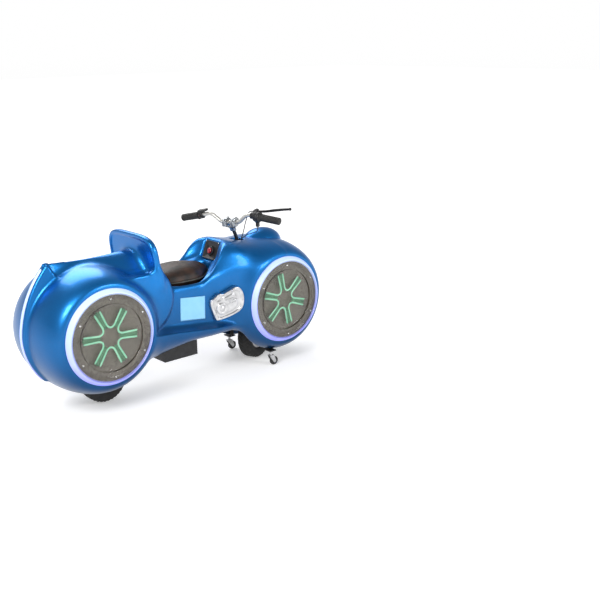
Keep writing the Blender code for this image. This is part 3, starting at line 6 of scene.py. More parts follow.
import bmesh
import bpy
import numpy as np
from mathutils import Matrix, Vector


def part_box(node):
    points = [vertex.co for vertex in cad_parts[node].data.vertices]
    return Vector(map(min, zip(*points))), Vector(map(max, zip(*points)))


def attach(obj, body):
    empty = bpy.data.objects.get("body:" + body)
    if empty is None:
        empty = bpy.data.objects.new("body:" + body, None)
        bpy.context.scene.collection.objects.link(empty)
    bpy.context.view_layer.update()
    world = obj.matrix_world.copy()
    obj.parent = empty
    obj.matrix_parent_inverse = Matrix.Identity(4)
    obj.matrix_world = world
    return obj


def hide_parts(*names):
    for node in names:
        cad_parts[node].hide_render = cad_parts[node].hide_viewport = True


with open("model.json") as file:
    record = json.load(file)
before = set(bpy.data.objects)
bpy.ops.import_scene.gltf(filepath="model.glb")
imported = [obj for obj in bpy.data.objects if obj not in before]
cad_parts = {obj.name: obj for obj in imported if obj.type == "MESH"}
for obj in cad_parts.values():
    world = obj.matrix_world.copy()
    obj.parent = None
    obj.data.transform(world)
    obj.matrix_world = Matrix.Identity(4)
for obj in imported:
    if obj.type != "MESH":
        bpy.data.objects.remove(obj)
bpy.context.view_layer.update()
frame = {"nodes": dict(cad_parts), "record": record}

# Photo stand: a white paper floor, a studio dome that is bright at the horizon and dim overhead, and
# soft boxes beside the camera and over the nose.  Places in this file are measured from the machine's
# plane of symmetry, on the floor; plane_shift carries them into the frame.
CAMERA_PLACE = np.array([-2.7789, -4.1694, 1.8595])
CAMERA_YAW = -0.7259
CAMERA_PITCH = 0.2770
CAMERA_ROLL = -0.0146
CAMERA_LENS = 55.68
SOFT_BOXES = (("key_box", (-3.8, -2.4, 3.6), (2.4, 1.8), 210.0, (1.0, 0.99, 0.97)),
              ("nose_box", (1.8, -4.4, 2.3), (1.6, 1.2), 70.0, (0.97, 0.98, 1.0)),
              ("floor_box", (0.6, 3.6, 4.4), (4.0, 3.0), 190.0, (1.0, 1.0, 1.0)))
DOME_TONES = ((0.0, 0.50), (0.490, 1.0), (0.535, 1.0), (0.60, 0.46), (1.0, 0.22))
plane_shift = np.mean(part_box("rear_axle"), axis=0) - (-0.490, 0.0, 0.127)


def aim(origin, target):
    """Rotation whose -Z axis points from origin to target: columns are side, up and back."""
    back = np.subtract(origin, target)
    back = back / np.linalg.norm(back)
    side = np.cross((0.0, 0.0, 1.0), back)
    side = side / np.linalg.norm(side)
    return np.stack([side, np.cross(back, side), back], 1)


def place_matrix(axes, origin):
    """A 4x4 placing matrix from three axis columns and a place."""
    whole = np.eye(4)
    whole[:3, :3] = axes
    whole[:3, 3] = origin
    return Matrix(whole.tolist())


def paper_material(name, low, high, scale, roughness):
    """A pale paper-like finish: two close tones mixed by broad noise."""
    made = bpy.data.materials.new(name)
    made.use_nodes = True
    nodes, links = made.node_tree.nodes, made.node_tree.links
    shader = nodes["Principled BSDF"]
    where = nodes.new("ShaderNodeTexCoord")
    noise = nodes.new("ShaderNodeTexNoise")
    noise.inputs["Scale"].default_value = scale
    ramp = nodes.new("ShaderNodeValToRGB")
    ramp.color_ramp.elements[0].color = (*low, 1.0)
    ramp.color_ramp.elements[1].color = (*high, 1.0)
    links.new(where.outputs["Object"], noise.inputs["Vector"])
    links.new(noise.outputs["Fac"], ramp.inputs["Fac"])
    links.new(ramp.outputs["Color"], shader.inputs["Base Color"])
    shader.inputs["Roughness"].default_value = roughness
    return made


camera_data = bpy.data.cameras.new("photo_camera")
camera_data.lens = CAMERA_LENS
camera_data.sensor_width = 36.0
camera_data.sensor_fit = "HORIZONTAL"
camera = bpy.data.objects.new("photo_camera", camera_data)
bpy.context.scene.collection.objects.link(camera)
cam_back = np.array([math.sin(CAMERA_YAW) * math.cos(CAMERA_PITCH),
                     -math.cos(CAMERA_YAW) * math.cos(CAMERA_PITCH), math.sin(CAMERA_PITCH)])
cam_side = np.array([math.cos(CAMERA_YAW), math.sin(CAMERA_YAW), 0.0])
cam_up = np.cross(cam_back, cam_side)
roll_c, roll_s = math.cos(CAMERA_ROLL), math.sin(CAMERA_ROLL)
camera.matrix_world = place_matrix(np.stack(
    [roll_c * cam_side + roll_s * cam_up, -roll_s * cam_side + roll_c * cam_up, cam_back], 1),
    CAMERA_PLACE + plane_shift)
bpy.context.scene.camera = camera
bpy.context.scene.view_settings.view_transform = "Standard"

for name, origin, size, power, tint in SOFT_BOXES:
    lamp = bpy.data.lights.new(name, "AREA")
    lamp.shape = "RECTANGLE"
    lamp.size, lamp.size_y = size
    lamp.energy = power
    lamp.color = tint
    holder = bpy.data.objects.new(name, lamp)
    bpy.context.scene.collection.objects.link(holder)
    holder.matrix_world = place_matrix(aim(origin, (0.0, 0.0, 0.4)), origin)

dome = bpy.data.worlds.new("studio_dome")
bpy.context.scene.world = dome
dome.use_nodes = True
dome_nodes, dome_links = dome.node_tree.nodes, dome.node_tree.links
dome_where = dome_nodes.new("ShaderNodeTexCoord")
dome_parts = dome_nodes.new("ShaderNodeSeparateXYZ")
dome_height = dome_nodes.new("ShaderNodeMapRange")
dome_height.inputs["From Min"].default_value = -1.0
dome_ramp = dome_nodes.new("ShaderNodeValToRGB")
while len(dome_ramp.color_ramp.elements) < len(DOME_TONES):
    dome_ramp.color_ramp.elements.new(0.5)
for stop, (position, tone) in zip(dome_ramp.color_ramp.elements, DOME_TONES):
    stop.position = position
    stop.color = (tone, tone, tone, 1.0)
dome_links.new(dome_where.outputs["Generated"], dome_parts.inputs["Vector"])
dome_links.new(dome_parts.outputs["Z"], dome_height.inputs["Value"])
dome_links.new(dome_height.outputs["Result"], dome_ramp.inputs["Fac"])
dome_links.new(dome_ramp.outputs["Color"], dome_nodes["Background"].inputs["Color"])

floor_mesh = bpy.data.meshes.new("floor")
floor_mesh.from_pydata([(-40, -40, -0.001), (40, -40, -0.001), (40, 40, -0.001), (-40, 40, -0.001)],
                       [], [(0, 1, 2, 3)])
floor = bpy.data.objects.new("floor", floor_mesh)
bpy.context.scene.collection.objects.link(floor)
floor_paper = paper_material("studio_floor", (0.88, 0.88, 0.88), (0.92, 0.92, 0.92), 0.7, 0.9)
floor_paper.node_tree.nodes["Principled BSDF"].inputs["Emission Color"].default_value = (1.0, 1.0, 1.0, 1.0)
floor_nodes, floor_links = floor_paper.node_tree.nodes, floor_paper.node_tree.links
floor_reach = floor_nodes.new("ShaderNodeVectorMath")
floor_reach.operation = "LENGTH"
floor_glow = floor_nodes.new("ShaderNodeMapRange")
for socket, value in zip(("From Min", "From Max", "To Min", "To Max"), (2.5, 9.0, 0.34, 0.85)):
    floor_glow.inputs[socket].default_value = value
floor_links.new(floor_nodes["Texture Coordinate"].outputs["Object"], floor_reach.inputs[0])
floor_links.new(floor_reach.outputs["Value"], floor_glow.inputs["Value"])
floor_links.new(floor_glow.outputs["Result"], floor_nodes["Principled BSDF"].inputs["Emission Strength"])
floor.data.materials.append(floor_paper)

# Body: a glass-fibre moulding in metallic-blue gelcoat, laid up in one mould as two barrel pods, a
# waist with footboards, the tank, the seat well, shoulders, the tail fairing and the backrest.  It is
# bolted to the chassis posts under the seat.  Forms that run into each other are fields melted together.
REAR_POD = (-0.564, 0.429)
FRONT_POD = (0.584, 0.400)
POD_FACE_R = 0.256
POD_TREAD = 0.080
POD_HALF_WIDTH = 0.250
RIM_Z = 0.598
WAIST_MIDDLE_Z = 0.440
TANK_MIDDLE_Z = 0.580
WELL_MIDDLE_X = 0.018
WELL_HALF_LENGTH = 0.210
SHOULDER = (-0.326, 0.556)
SHELF_Z = 0.697
SKIN_STEP = 0.0070
# Painted shade: grey tones by height, from the floor up, that darken the paint's base colour lower down.
PAINTED_SHADE_BY_HEIGHT = ((0.0, 0.22), (0.45, 0.62), (0.82, 1.0))


def smooth_rise(value):
    """Cubic rise from 0 to 1 with flat ends."""
    t = np.clip(value, 0.0, 1.0)
    return t * t * (3.0 - 2.0 * t)


def melt(first, second, width):
    """Union of two distance fields with a fillet: the lower one less a square of their nearness."""
    near = np.maximum(width - np.abs(first - second), 0.0) / width
    return np.minimum(first, second) - near * near * width / 4.0


def carve(field, tool, width):
    """The field without the tool, with a rounded edge."""
    return -melt(-field, tool, width)


def oval(across, up, half_across, half_up):
    """Near distance to an ellipse: k1 (k1 - 1) / k2 with k1, k2 the scaled lengths."""
    first = np.sqrt((across / half_across) ** 2 + (up / half_up) ** 2) + 1e-9
    second = np.sqrt((across / half_across**2) ** 2 + (up / half_up**2) ** 2) + 1e-9
    return first * (first - 1.0) / second


def rounded_box(first, second, half_first, half_second, radius):
    """Distance to a rectangle with rounded corners."""
    a = np.abs(first) - half_first + radius
    b = np.abs(second) - half_second + radius
    return np.hypot(np.maximum(a, 0.0), np.maximum(b, 0.0)) + np.minimum(np.maximum(a, b), 0.0) - radius


def superellipse(across, up, half_across, half_up, power):
    """Near distance to |a|^n + |b|^n = 1: the level less one over its slope."""
    a = np.abs(across) / half_across
    b = np.abs(up) / half_up
    level = (a**power + b**power + 1e-12) ** (1.0 / power)
    slope = level ** (1.0 - power) * np.hypot(a ** (power - 1.0) / half_across, b ** (power - 1.0) / half_up)
    return (level - 1.0) / np.maximum(slope, 1.0)


def pod_field(x, y, z, centre):
    """A barrel across the machine: flat faces and an elliptic tread outside them."""
    reach = np.maximum(np.hypot(x - centre[0], z - centre[1]) - POD_FACE_R, 0.0)
    return oval(reach, y, POD_TREAD, POD_HALF_WIDTH)


def waist_field(x, y, z):
    """Superellipse section with a footboard ledge; its top is the seat's rim, rising to the tank."""
    top = RIM_Z + 0.056 * smooth_rise((x - 0.020) / 0.260)
    low = 0.260 - 0.044 * smooth_rise((-0.010 - x) / 0.270)
    half = 0.186 + 0.054 * smooth_rise((np.abs(x + 0.010) - 0.130) / 0.360)
    crest = 0.334 - 0.120 * x
    over = (1.0 - np.clip((z - crest) / 0.048, 0.0, 1.0)) ** 2.2
    under = 1.0 - np.clip((crest - z) / 0.120, 0.0, 1.0) ** 2
    half = half + 0.048 * np.where(z > crest, over, under) * smooth_rise(1.6 - np.abs(x + 0.060) / 0.260)
    above = z > WAIST_MIDDLE_Z
    tall = np.where(above, top - WAIST_MIDDLE_Z, WAIST_MIDDLE_Z - low)
    power = np.where(above, 8.0, 6.0)
    body = superellipse(y, z - WAIST_MIDDLE_Z, half, tall, power)
    return np.maximum(body, np.maximum(-0.45 - x, x - 0.56))


def tank_field(x, y, z):
    """A boxy arch from the seat to the front pod; its rear face is a hollow wall round the dashboard."""
    top = (0.612 + 0.150 * smooth_rise((x - 0.038) / 0.230)
           - 0.046 * np.clip((x - 0.310) / 0.234, 0.0, 1.2))
    half = 0.161 + 0.072 * smooth_rise((x - 0.100) / 0.360)
    power = 3.7 - 0.7 * smooth_rise((x - 0.270) / 0.130)
    tall = np.where(z > TANK_MIDDLE_Z, top - TANK_MIDDLE_Z, 0.10)
    arch = superellipse(y, z - TANK_MIDDLE_Z, half, tall, power)
    wall = 0.250 + (z - 0.703) * math.tan(math.radians(20.0)) - 0.128 * (np.abs(y) / 0.19) ** 3
    return carve(np.maximum(arch, x - 0.56), x - wall, 0.030)


def shoulder_field(x, y, z):
    """A barrel between waist and rear pod, cut to a shelf with a shallow trough on each side."""
    barrel = rounded_box(np.hypot(x - SHOULDER[0], z - SHOULDER[1]), y, 0.1815, 0.210, 0.024)
    shelved = -melt(-barrel, SHELF_Z - z, 0.014)
    trough = np.maximum(rounded_box(np.abs(y) - 0.148, z - 0.712, 0.036, 0.024, 0.020), x + 0.232)
    return carve(shelved, trough, 0.012)


def fairing_field(x, y, z):
    """The tail fairing: an arch that falls by a power of the share of its half width, with a sloping end."""
    half = np.interp(x, (-0.776, -0.560, -0.262), (0.016, 0.085, 0.142))
    ridge = 0.7855 + 0.0155 * ((x + 0.510) / 0.266) ** 2
    power = 1.25 + 0.45 * smooth_rise((x + 0.600) / 0.250)
    share = np.maximum(np.abs(y) / half, 1e-6)
    slope = 0.110 * power / half * share ** (power - 1.0)
    arch = (z - ridge + 0.110 * share**power) / np.sqrt(1.0 + slope**2)
    end = (z - 0.806 + 0.8 * (x + 0.310)) / 1.281
    arch = -melt(-arch, -end, 0.030)
    return np.maximum(np.maximum(arch, 0.655 - z), np.maximum(-0.776 - x, x + 0.240))


def rib_crest(angle):
    """Radius of the tail rib about the rear pod, by angle in degrees: high at the beak, then level."""
    rise = np.clip((172.0 - angle) / 53.0, 0.0, 1.0)
    return 0.336 + 0.020 * (1.0 - 0.5 * smooth_rise((angle - 172.0) / 50.0)) + 0.057 * rise**2


def tail_field(x, y, z):
    """The tail rib: a rounded bar bent round the rear pod, from the beak to under the tail."""
    dx, dz = x - REAR_POD[0], z - REAR_POD[1]
    angle = np.degrees(np.arctan2(dz, dx)) % 360.0
    flank = 0.026 + 0.30 * np.maximum(rib_crest(angle) - np.hypot(dx, dz) - 0.010, 0.0)
    bar = rounded_box(np.hypot(dx, dz) - rib_crest(angle) + 0.05, y / flank * 0.026, 0.05, 0.026, 0.010)
    return np.maximum(bar, np.maximum(118.0 - angle, angle - 222.0) * 0.006)


def backrest_field(x, y, z):
    """A leaning panel with rounded corners and a shallow tray in its rear face."""
    ahead = x + 0.225 + (z - 0.570) * math.tan(math.radians(7.0))
    outline = superellipse(y, z - 0.7275, 0.224, 0.1575, 4.0)
    panel = rounded_box(outline + 0.5, ahead, 0.5, 0.018, 0.013)
    tray = np.maximum(outline + 0.028, ahead + 0.012)
    return carve(panel, tray, 0.016)


def well_field(x, y, z):
    """Egg-shaped seat well: a superellipse plan that narrows towards the tank."""
    along = (x - WELL_MIDDLE_X) / WELL_HALF_LENGTH
    width = 0.158 - 0.090 * smooth_rise(along) ** 1.5
    level = (np.abs(along) ** 2.857 + (np.abs(y) / width) ** 2.857 + 1e-12) ** (1.0 / 2.857)
    return np.maximum((level - 1.0) * width, 0.560 - z)


def dash_field(x, y, z):
    """The recess of the dashboard: a rounded box in the tilted frame of its panel."""
    lean = math.radians(20.0)
    out = -(x - 0.250) * math.cos(lean) + (z - 0.703) * math.sin(lean)
    up = (x - 0.250) * math.sin(lean) + (z - 0.703) * math.cos(lean)
    return np.maximum(rounded_box(up, y, 0.056, 0.066, 0.010), np.maximum(-0.0083 - out, out - 0.13))


def pocket_field(x, y, z):
    """Hollows under the body: wheel wells, the bay of the battery box and the steering shaft's way."""
    front = np.maximum(rounded_box(x - 0.515, y, 0.235, 0.182, 0.05), z - 0.50)
    middle = np.maximum(rounded_box(x - 0.04, y, 0.245, 0.150, 0.02), z - 0.320)
    rear = np.maximum(rounded_box(x + 0.490, y, 0.165, 0.097, 0.03), z - 0.310)
    rake = math.radians(10.0)
    across = np.hypot((x - 0.547) * math.cos(rake) + (z - 0.127) * math.sin(rake), y)
    shaft = np.maximum(across - 0.040, 0.4 - z)
    wide = np.maximum(across - 0.060, np.maximum(0.4 - z, z - 0.690))
    return np.minimum(np.minimum(front, middle), np.minimum(rear, np.minimum(shaft, wide)))


def disc_field(x, y, z, centre):
    """The round seat of a lighted disc in a pod's side, with a flat land for its ring."""
    around = np.hypot(x - centre[0], z - centre[1])
    return np.minimum(np.maximum(around - 0.2315, 0.213 - np.abs(y)),
                      np.maximum(around - 0.2520, 0.2500 - np.abs(y)))


def body_field(x, y, z):
    """The whole moulding: the forms run together with fillets, then the openings are cut."""
    form = melt(pod_field(x, y, z, REAR_POD), waist_field(x, y, z), 0.045)
    form = melt(form, tank_field(x, y, z), 0.050)
    form = melt(form, pod_field(x, y, z, FRONT_POD), 0.050)
    form = melt(form, shoulder_field(x, y, z), 0.018)
    form = melt(form, fairing_field(x, y, z), 0.022)
    form = melt(form, tail_field(x, y, z), 0.016)
    form = melt(form, backrest_field(x, y, z), 0.050)
    form = carve(form, well_field(x, y, z), 0.026)
    form = carve(form, dash_field(x, y, z), 0.012)
    form = carve(form, np.minimum(disc_field(x, y, z, REAR_POD), disc_field(x, y, z, FRONT_POD)), 0.004)
    return carve(form, pocket_field(x, y, z), 0.006)


def skin_over(field, low, high, step):
    """Net over a field's zero level: one point in each crossed cell, at the mean of its edge crossings,
    one quad round each crossed edge, and three Newton steps onto the level."""
    axes = [np.arange(a, b + step, step) for a, b in zip(low, high)]
    value = field(*np.meshgrid(*axes, indexing="ij"))
    cells = tuple(size - 1 for size in value.shape)
    total = np.zeros(cells + (3,))
    count = np.zeros(cells)
    crossings = []
    for a in range(3):
        b, c = (a + 1) % 3, (a + 2) % 3
        first = np.take(value, range(0, value.shape[a] - 1), axis=a)
        second = np.take(value, range(1, value.shape[a]), axis=a)
        cross = (first < 0.0) != (second < 0.0)
        share = np.where(cross, first / np.where(cross, first - second, 1.0), 0.0)
        for db in (0, 1):
            for dc in (0, 1):
                part = [slice(None)] * 3
                part[b] = slice(db, db + cells[b])
                part[c] = slice(dc, dc + cells[c])
                hit = cross[tuple(part)]
                count += hit
                total[..., a] += share[tuple(part)]
                total[..., b] += db * hit
                total[..., c] += dc * hit
        crossings.append((cross, first < 0.0))
    live = count > 0
    index = np.full(cells, -1)
    index[live] = np.arange(int(live.sum()))
    points = np.array(low) + step * (np.argwhere(live) + total[live] / count[live][:, None])
    quads = []
    for a, (cross, leaving) in enumerate(crossings):
        b, c = (a + 1) % 3, (a + 2) % 3
        inner = [slice(None)] * 3
        inner[b] = slice(1, -1)
        inner[c] = slice(1, -1)
        here = np.argwhere(cross[tuple(inner)])
        here[:, [b, c]] += 1
        corners = []
        for db, dc in ((-1, -1), (0, -1), (0, 0), (-1, 0)):
            cell = here.copy()
            cell[:, b] += db
            cell[:, c] += dc
            corners.append(index[cell[:, 0], cell[:, 1], cell[:, 2]])
        quad = np.stack(corners, 1)
        out = leaving[tuple(inner)][cross[tuple(inner)]]
        quads.append(np.where(out[:, None], quad, quad[:, ::-1]))
    for _ in range(3):
        small = 0.03 * step
        level = field(*points.T)
        rise = np.stack([field(*(points + small * axis).T) - field(*(points - small * axis).T)
                         for axis in np.eye(3)], 1) / (2.0 * small)
        move = -(level / np.maximum((rise**2).sum(1), 0.25))[:, None] * rise
        points = points + np.clip(move, -0.5 * step, 0.5 * step)
    return points, np.concatenate(quads)


def mesh_piece(name, points, faces, material, body, replaces=(), smooth=True, weld=None):
    """Points and faces, carried into the frame, as an object at the origin that rides on a body."""
    mesh = bpy.data.meshes.new(name)
    mesh.from_pydata((np.asarray(points, float) + plane_shift).tolist(), [], np.asarray(faces).tolist())
    if weld is not None:
        shape = bmesh.new()
        shape.from_mesh(mesh)
        bmesh.ops.remove_doubles(shape, verts=shape.verts[:], dist=weld)
        bmesh.ops.dissolve_degenerate(shape, edges=shape.edges[:], dist=1e-7)
        bmesh.ops.recalc_face_normals(shape, faces=shape.faces[:])
        shape.to_mesh(mesh)
        shape.free()
    mesh.polygons.foreach_set("use_smooth", np.full(len(mesh.polygons), smooth))
    mesh.update()
    piece = bpy.data.objects.new(name, mesh)
    bpy.context.scene.collection.objects.link(piece)
    piece.data.materials.append(material)
    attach(piece, body)
    if replaces:
        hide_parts(*replaces)
    return piece


def metallic_gelcoat(name, deep, bright):
    """Candy paint: flakes of two blues under a clear coat, with a soft orange-peel bump; the base colour
    is darkened towards the floor as painted shade."""
    made = bpy.data.materials.new(name)
    made.use_nodes = True
    nodes, links = made.node_tree.nodes, made.node_tree.links
    shader = nodes["Principled BSDF"]
    where = nodes.new("ShaderNodeTexCoord")
    flakes = nodes.new("ShaderNodeTexVoronoi")
    flakes.inputs["Scale"].default_value = 900.0
    clouds = nodes.new("ShaderNodeTexNoise")
    clouds.inputs["Scale"].default_value = 3.0
    ramp = nodes.new("ShaderNodeValToRGB")
    ramp.color_ramp.elements[0].color = (*deep, 1.0)
    ramp.color_ramp.elements[1].color = (*bright, 1.0)
    blend = nodes.new("ShaderNodeMath")
    blend.operation = "MULTIPLY_ADD"
    blend.inputs[1].default_value = 0.35
    peel = nodes.new("ShaderNodeTexNoise")
    peel.inputs["Scale"].default_value = 90.0
    bump = nodes.new("ShaderNodeBump")
    bump.inputs["Strength"].default_value = 0.02
    bump.inputs["Distance"].default_value = 0.001
    links.new(where.outputs["Object"], flakes.inputs["Vector"])
    links.new(where.outputs["Object"], clouds.inputs["Vector"])
    links.new(where.outputs["Object"], peel.inputs["Vector"])
    links.new(flakes.outputs["Color"], blend.inputs[0])
    links.new(clouds.outputs["Fac"], blend.inputs[2])
    links.new(blend.outputs["Value"], ramp.inputs["Fac"])
    # Painted shade: the base colour is multiplied by a grey ramp over height, darker towards the floor.
    parts = nodes.new("ShaderNodeSeparateXYZ")
    height = nodes.new("ShaderNodeMapRange")
    height.inputs["From Min"].default_value = 0.10
    height.inputs["From Max"].default_value = 0.80
    depth = nodes.new("ShaderNodeValToRGB")
    depth.color_ramp.elements.new(0.5)
    for stop, (position, tone) in zip(depth.color_ramp.elements, PAINTED_SHADE_BY_HEIGHT):
        stop.position = position
        stop.color = (tone, tone, tone, 1.0)
    product = nodes.new("ShaderNodeVectorMath")
    product.operation = "MULTIPLY"
    links.new(where.outputs["Object"], parts.inputs["Vector"])
    links.new(parts.outputs["Z"], height.inputs["Value"])
    links.new(height.outputs["Result"], depth.inputs["Fac"])
    links.new(ramp.outputs["Color"], product.inputs[0])
    links.new(depth.outputs["Color"], product.inputs[1])
    links.new(product.outputs["Vector"], shader.inputs["Base Color"])
    links.new(peel.outputs["Fac"], bump.inputs["Height"])
    links.new(bump.outputs["Normal"], shader.inputs["Normal"])
    shader.inputs["Metallic"].default_value = 0.80
    shader.inputs["Roughness"].default_value = 0.35
    shader.inputs["Coat Weight"].default_value = 0.22
    shader.inputs["Coat Roughness"].default_value = 0.05
    return made


blue_gelcoat = metallic_gelcoat("blue_gelcoat", (0.0022, 0.092, 0.300), (0.0066, 0.200, 0.590))
skin_points, skin_quads = skin_over(body_field, (-0.962, -0.301, 0.055), (0.962, 0.301, 0.930), SKIN_STEP)
mesh_piece("body_skin", skin_points, skin_quads, blue_gelcoat, "chassis", ["body_shell"])


# Nose dome: a separate blister moulding on the front pod, in the same gelcoat, bonded on round its
# foot.
DOME_PLACE = (0.624, 0.0, 0.694)
DOME_HALF = (0.126, 0.098, 0.086)
DOME_FOOT_Z = 0.662


def sheet_faces(rows, columns, close_rows=False, close_columns=False):
    """Quads over a grid of points, wrapped round where the grid closes on itself."""
    r = np.arange(rows if close_rows else rows - 1)[:, None]
    c = np.arange(columns if close_columns else columns - 1)[None, :]
    r2, c2 = (r + 1) % rows, (c + 1) % columns
    corners = [r * columns + c, r * columns + c2, r2 * columns + c2, r2 * columns + c]
    return np.stack([corner.ravel() for corner in corners], 1)


def sheet_piece(name, grid, material, body, replaces=(), close_rows=False, smooth=True):
    """Grids of points, closed round their columns, as one welded piece; rows that shrink to a point
    close the ends."""
    grids = grid if isinstance(grid, list) else [grid]
    faces, start = [], 0
    for one in grids:
        faces.append(sheet_faces(*one.shape[:2], close_rows, True) + start)
        start += one.shape[0] * one.shape[1]
    points = np.concatenate([one.reshape(-1, 3) for one in grids])
    return mesh_piece(name, points, np.concatenate(faces), material, body, replaces, smooth, weld=1e-6)


dome_tilt = np.linspace(0.0, math.pi, 61)[:, None]
dome_turn = np.linspace(0.0, 2.0 * math.pi, 97)[None, :-1]
dome_lift = DOME_PLACE[2] + DOME_HALF[2] * np.cos(dome_tilt) + 0.0 * dome_turn
dome_grid = np.stack([DOME_PLACE[0] + DOME_HALF[0] * np.sin(dome_tilt) * np.cos(dome_turn),
                      DOME_PLACE[1] + DOME_HALF[1] * np.sin(dome_tilt) * np.sin(dome_turn),
                      np.maximum(dome_lift, DOME_FOOT_Z)], 2)
sheet_piece("nose_blister", dome_grid, blue_gelcoat, "chassis", ["nose_dome"])


# Lamp rings: milky tapered plastic rings over strips of lamps, screwed to the pod faces; they glow
# white at the top and violet towards the floor.
RING_PROFILE = ((0.2500, 0.0003), (0.2499, 0.0016), (0.2492, 0.0032), (0.2345, 0.0240), (0.2334, 0.0254),
                (0.2318, 0.0260), (0.2290, 0.0260), (0.2290, 0.0222), (0.2220, 0.0222), (0.2220, 0.0192),
                (0.2315, 0.0192), (0.2440, 0.0003))
RING_GLOW = ((0.00, (0.255, 0.265, 0.780)), (0.30, (0.330, 0.370, 0.900)), (0.62, (0.400, 0.500, 0.950)),
             (1.00, (0.520, 0.640, 0.920)))
DISC_PLACES = (("rear_right", REAR_POD, -1, 26.0), ("rear_left", REAR_POD, 1, 26.0),
               ("front_right", FRONT_POD, -1, 12.0), ("front_left", FRONT_POD, 1, 12.0))


def turned_grid(profile, steps):
    """Radius and height points turned about Z: (r cos t, r sin t, h) for each point and angle."""
    line = np.asarray(profile, float)
    turn = np.linspace(0.0, 2.0 * math.pi, steps + 1)[None, :-1]
    return np.stack([line[:, :1] * np.cos(turn), line[:, :1] * np.sin(turn), line[:, 1:] + 0.0 * turn], 2)


def on_pod(grid, centre, side):
    """Turns a grid whose Z axis points outwards onto a pod's side face."""
    return np.stack([centre[0] + grid[..., 0], side * (POD_HALF_WIDTH + grid[..., 2]),
                     centre[1] + grid[..., 1]], -1)


def lamp_plastic(name, tones, low_z, high_z, strength):
    """Milky plastic lit from within: the glow runs through its tints up its height, a little cloudy."""
    made = bpy.data.materials.new(name)
    made.use_nodes = True
    nodes, links = made.node_tree.nodes, made.node_tree.links
    shader = nodes["Principled BSDF"]
    where = nodes.new("ShaderNodeTexCoord")
    parts = nodes.new("ShaderNodeSeparateXYZ")
    height = nodes.new("ShaderNodeMapRange")
    height.inputs["From Min"].default_value = low_z
    height.inputs["From Max"].default_value = high_z
    cloud = nodes.new("ShaderNodeTexNoise")
    cloud.inputs["Scale"].default_value = 14.0
    shift = nodes.new("ShaderNodeMath")
    shift.operation = "MULTIPLY_ADD"
    shift.inputs[1].default_value = 0.16
    ramp = nodes.new("ShaderNodeValToRGB")
    while len(ramp.color_ramp.elements) < len(tones):
        ramp.color_ramp.elements.new(0.5)
    for stop, (position, tone) in zip(ramp.color_ramp.elements, tones):
        stop.position = position
        stop.color = (*tone, 1.0)
    links.new(where.outputs["Object"], parts.inputs["Vector"])
    links.new(parts.outputs["Z"], height.inputs["Value"])
    links.new(where.outputs["Object"], cloud.inputs["Vector"])
    links.new(cloud.outputs["Fac"], shift.inputs[0])
    links.new(height.outputs["Result"], shift.inputs[2])
    links.new(shift.outputs["Value"], ramp.inputs["Fac"])
    links.new(ramp.outputs["Color"], shader.inputs["Base Color"])
    links.new(ramp.outputs["Color"], shader.inputs["Emission Color"])
    shader.inputs["Emission Strength"].default_value = strength
    shader.inputs["Roughness"].default_value = 0.35
    return made


ring_plastic = lamp_plastic("violet_lamp_plastic", RING_GLOW, 0.20, 0.72, 0.36)
for place, centre, side, _ in DISC_PLACES:
    sheet_piece(f"lamp_ring_{place}", on_pod(turned_grid(RING_PROFILE, 144), centre, side), ring_plastic,
                "chassis", [f"led_ring_{place}"], close_rows=True)


# Discs: a taupe pan, mint light lines beside six green spoke plates and a clear dished cover over them,
# held by small bright screws round the cover's flange.
PAN_PROFILE = ((0.0, -0.0272), (0.205, -0.0272), (0.2155, -0.0230), (0.2255, 0.0028), (0.2370, 0.0028),
               (0.2370, 0.0003), (0.2280, 0.0003), (0.2180, -0.0250), (0.2070, -0.0297), (0.0, -0.0297))
COVER_PROFILE = ((0.0, 0.0055), (0.168, 0.0055), (0.1715, 0.0065), (0.1730, 0.0090), (0.1745, 0.0220),
                 (0.1760, 0.0248), (0.1790, 0.0255), (0.2275, 0.0255), (0.2287, 0.0250), (0.2287, 0.0225),
                 (0.1800, 0.0225), (0.1775, 0.0215), (0.1765, 0.0190), (0.1750, 0.0060), (0.1735, 0.0032),
                 (0.1700, 0.0025), (0.0, 0.0025))
LINE_REACH = 0.156
LINE_VERTEX = 0.037
LINE_OFFSETS = (0.0135, 0.0175)
LINE_HALF = 0.0050
PLATE_ROOT = 0.062
WALL_PROFILE = ((0.1752, 0.0078), (0.1760, 0.0078), (0.1760, 0.0205), (0.1752, 0.0205))
SCREW_PROFILE = ((0.0, 0.0030), (0.0028, 0.0027), (0.0046, 0.0014), (0.0050, 0.0), (0.0, 0.0))
SCREW_COUNT = 6
SCREW_RADIUS = 0.203


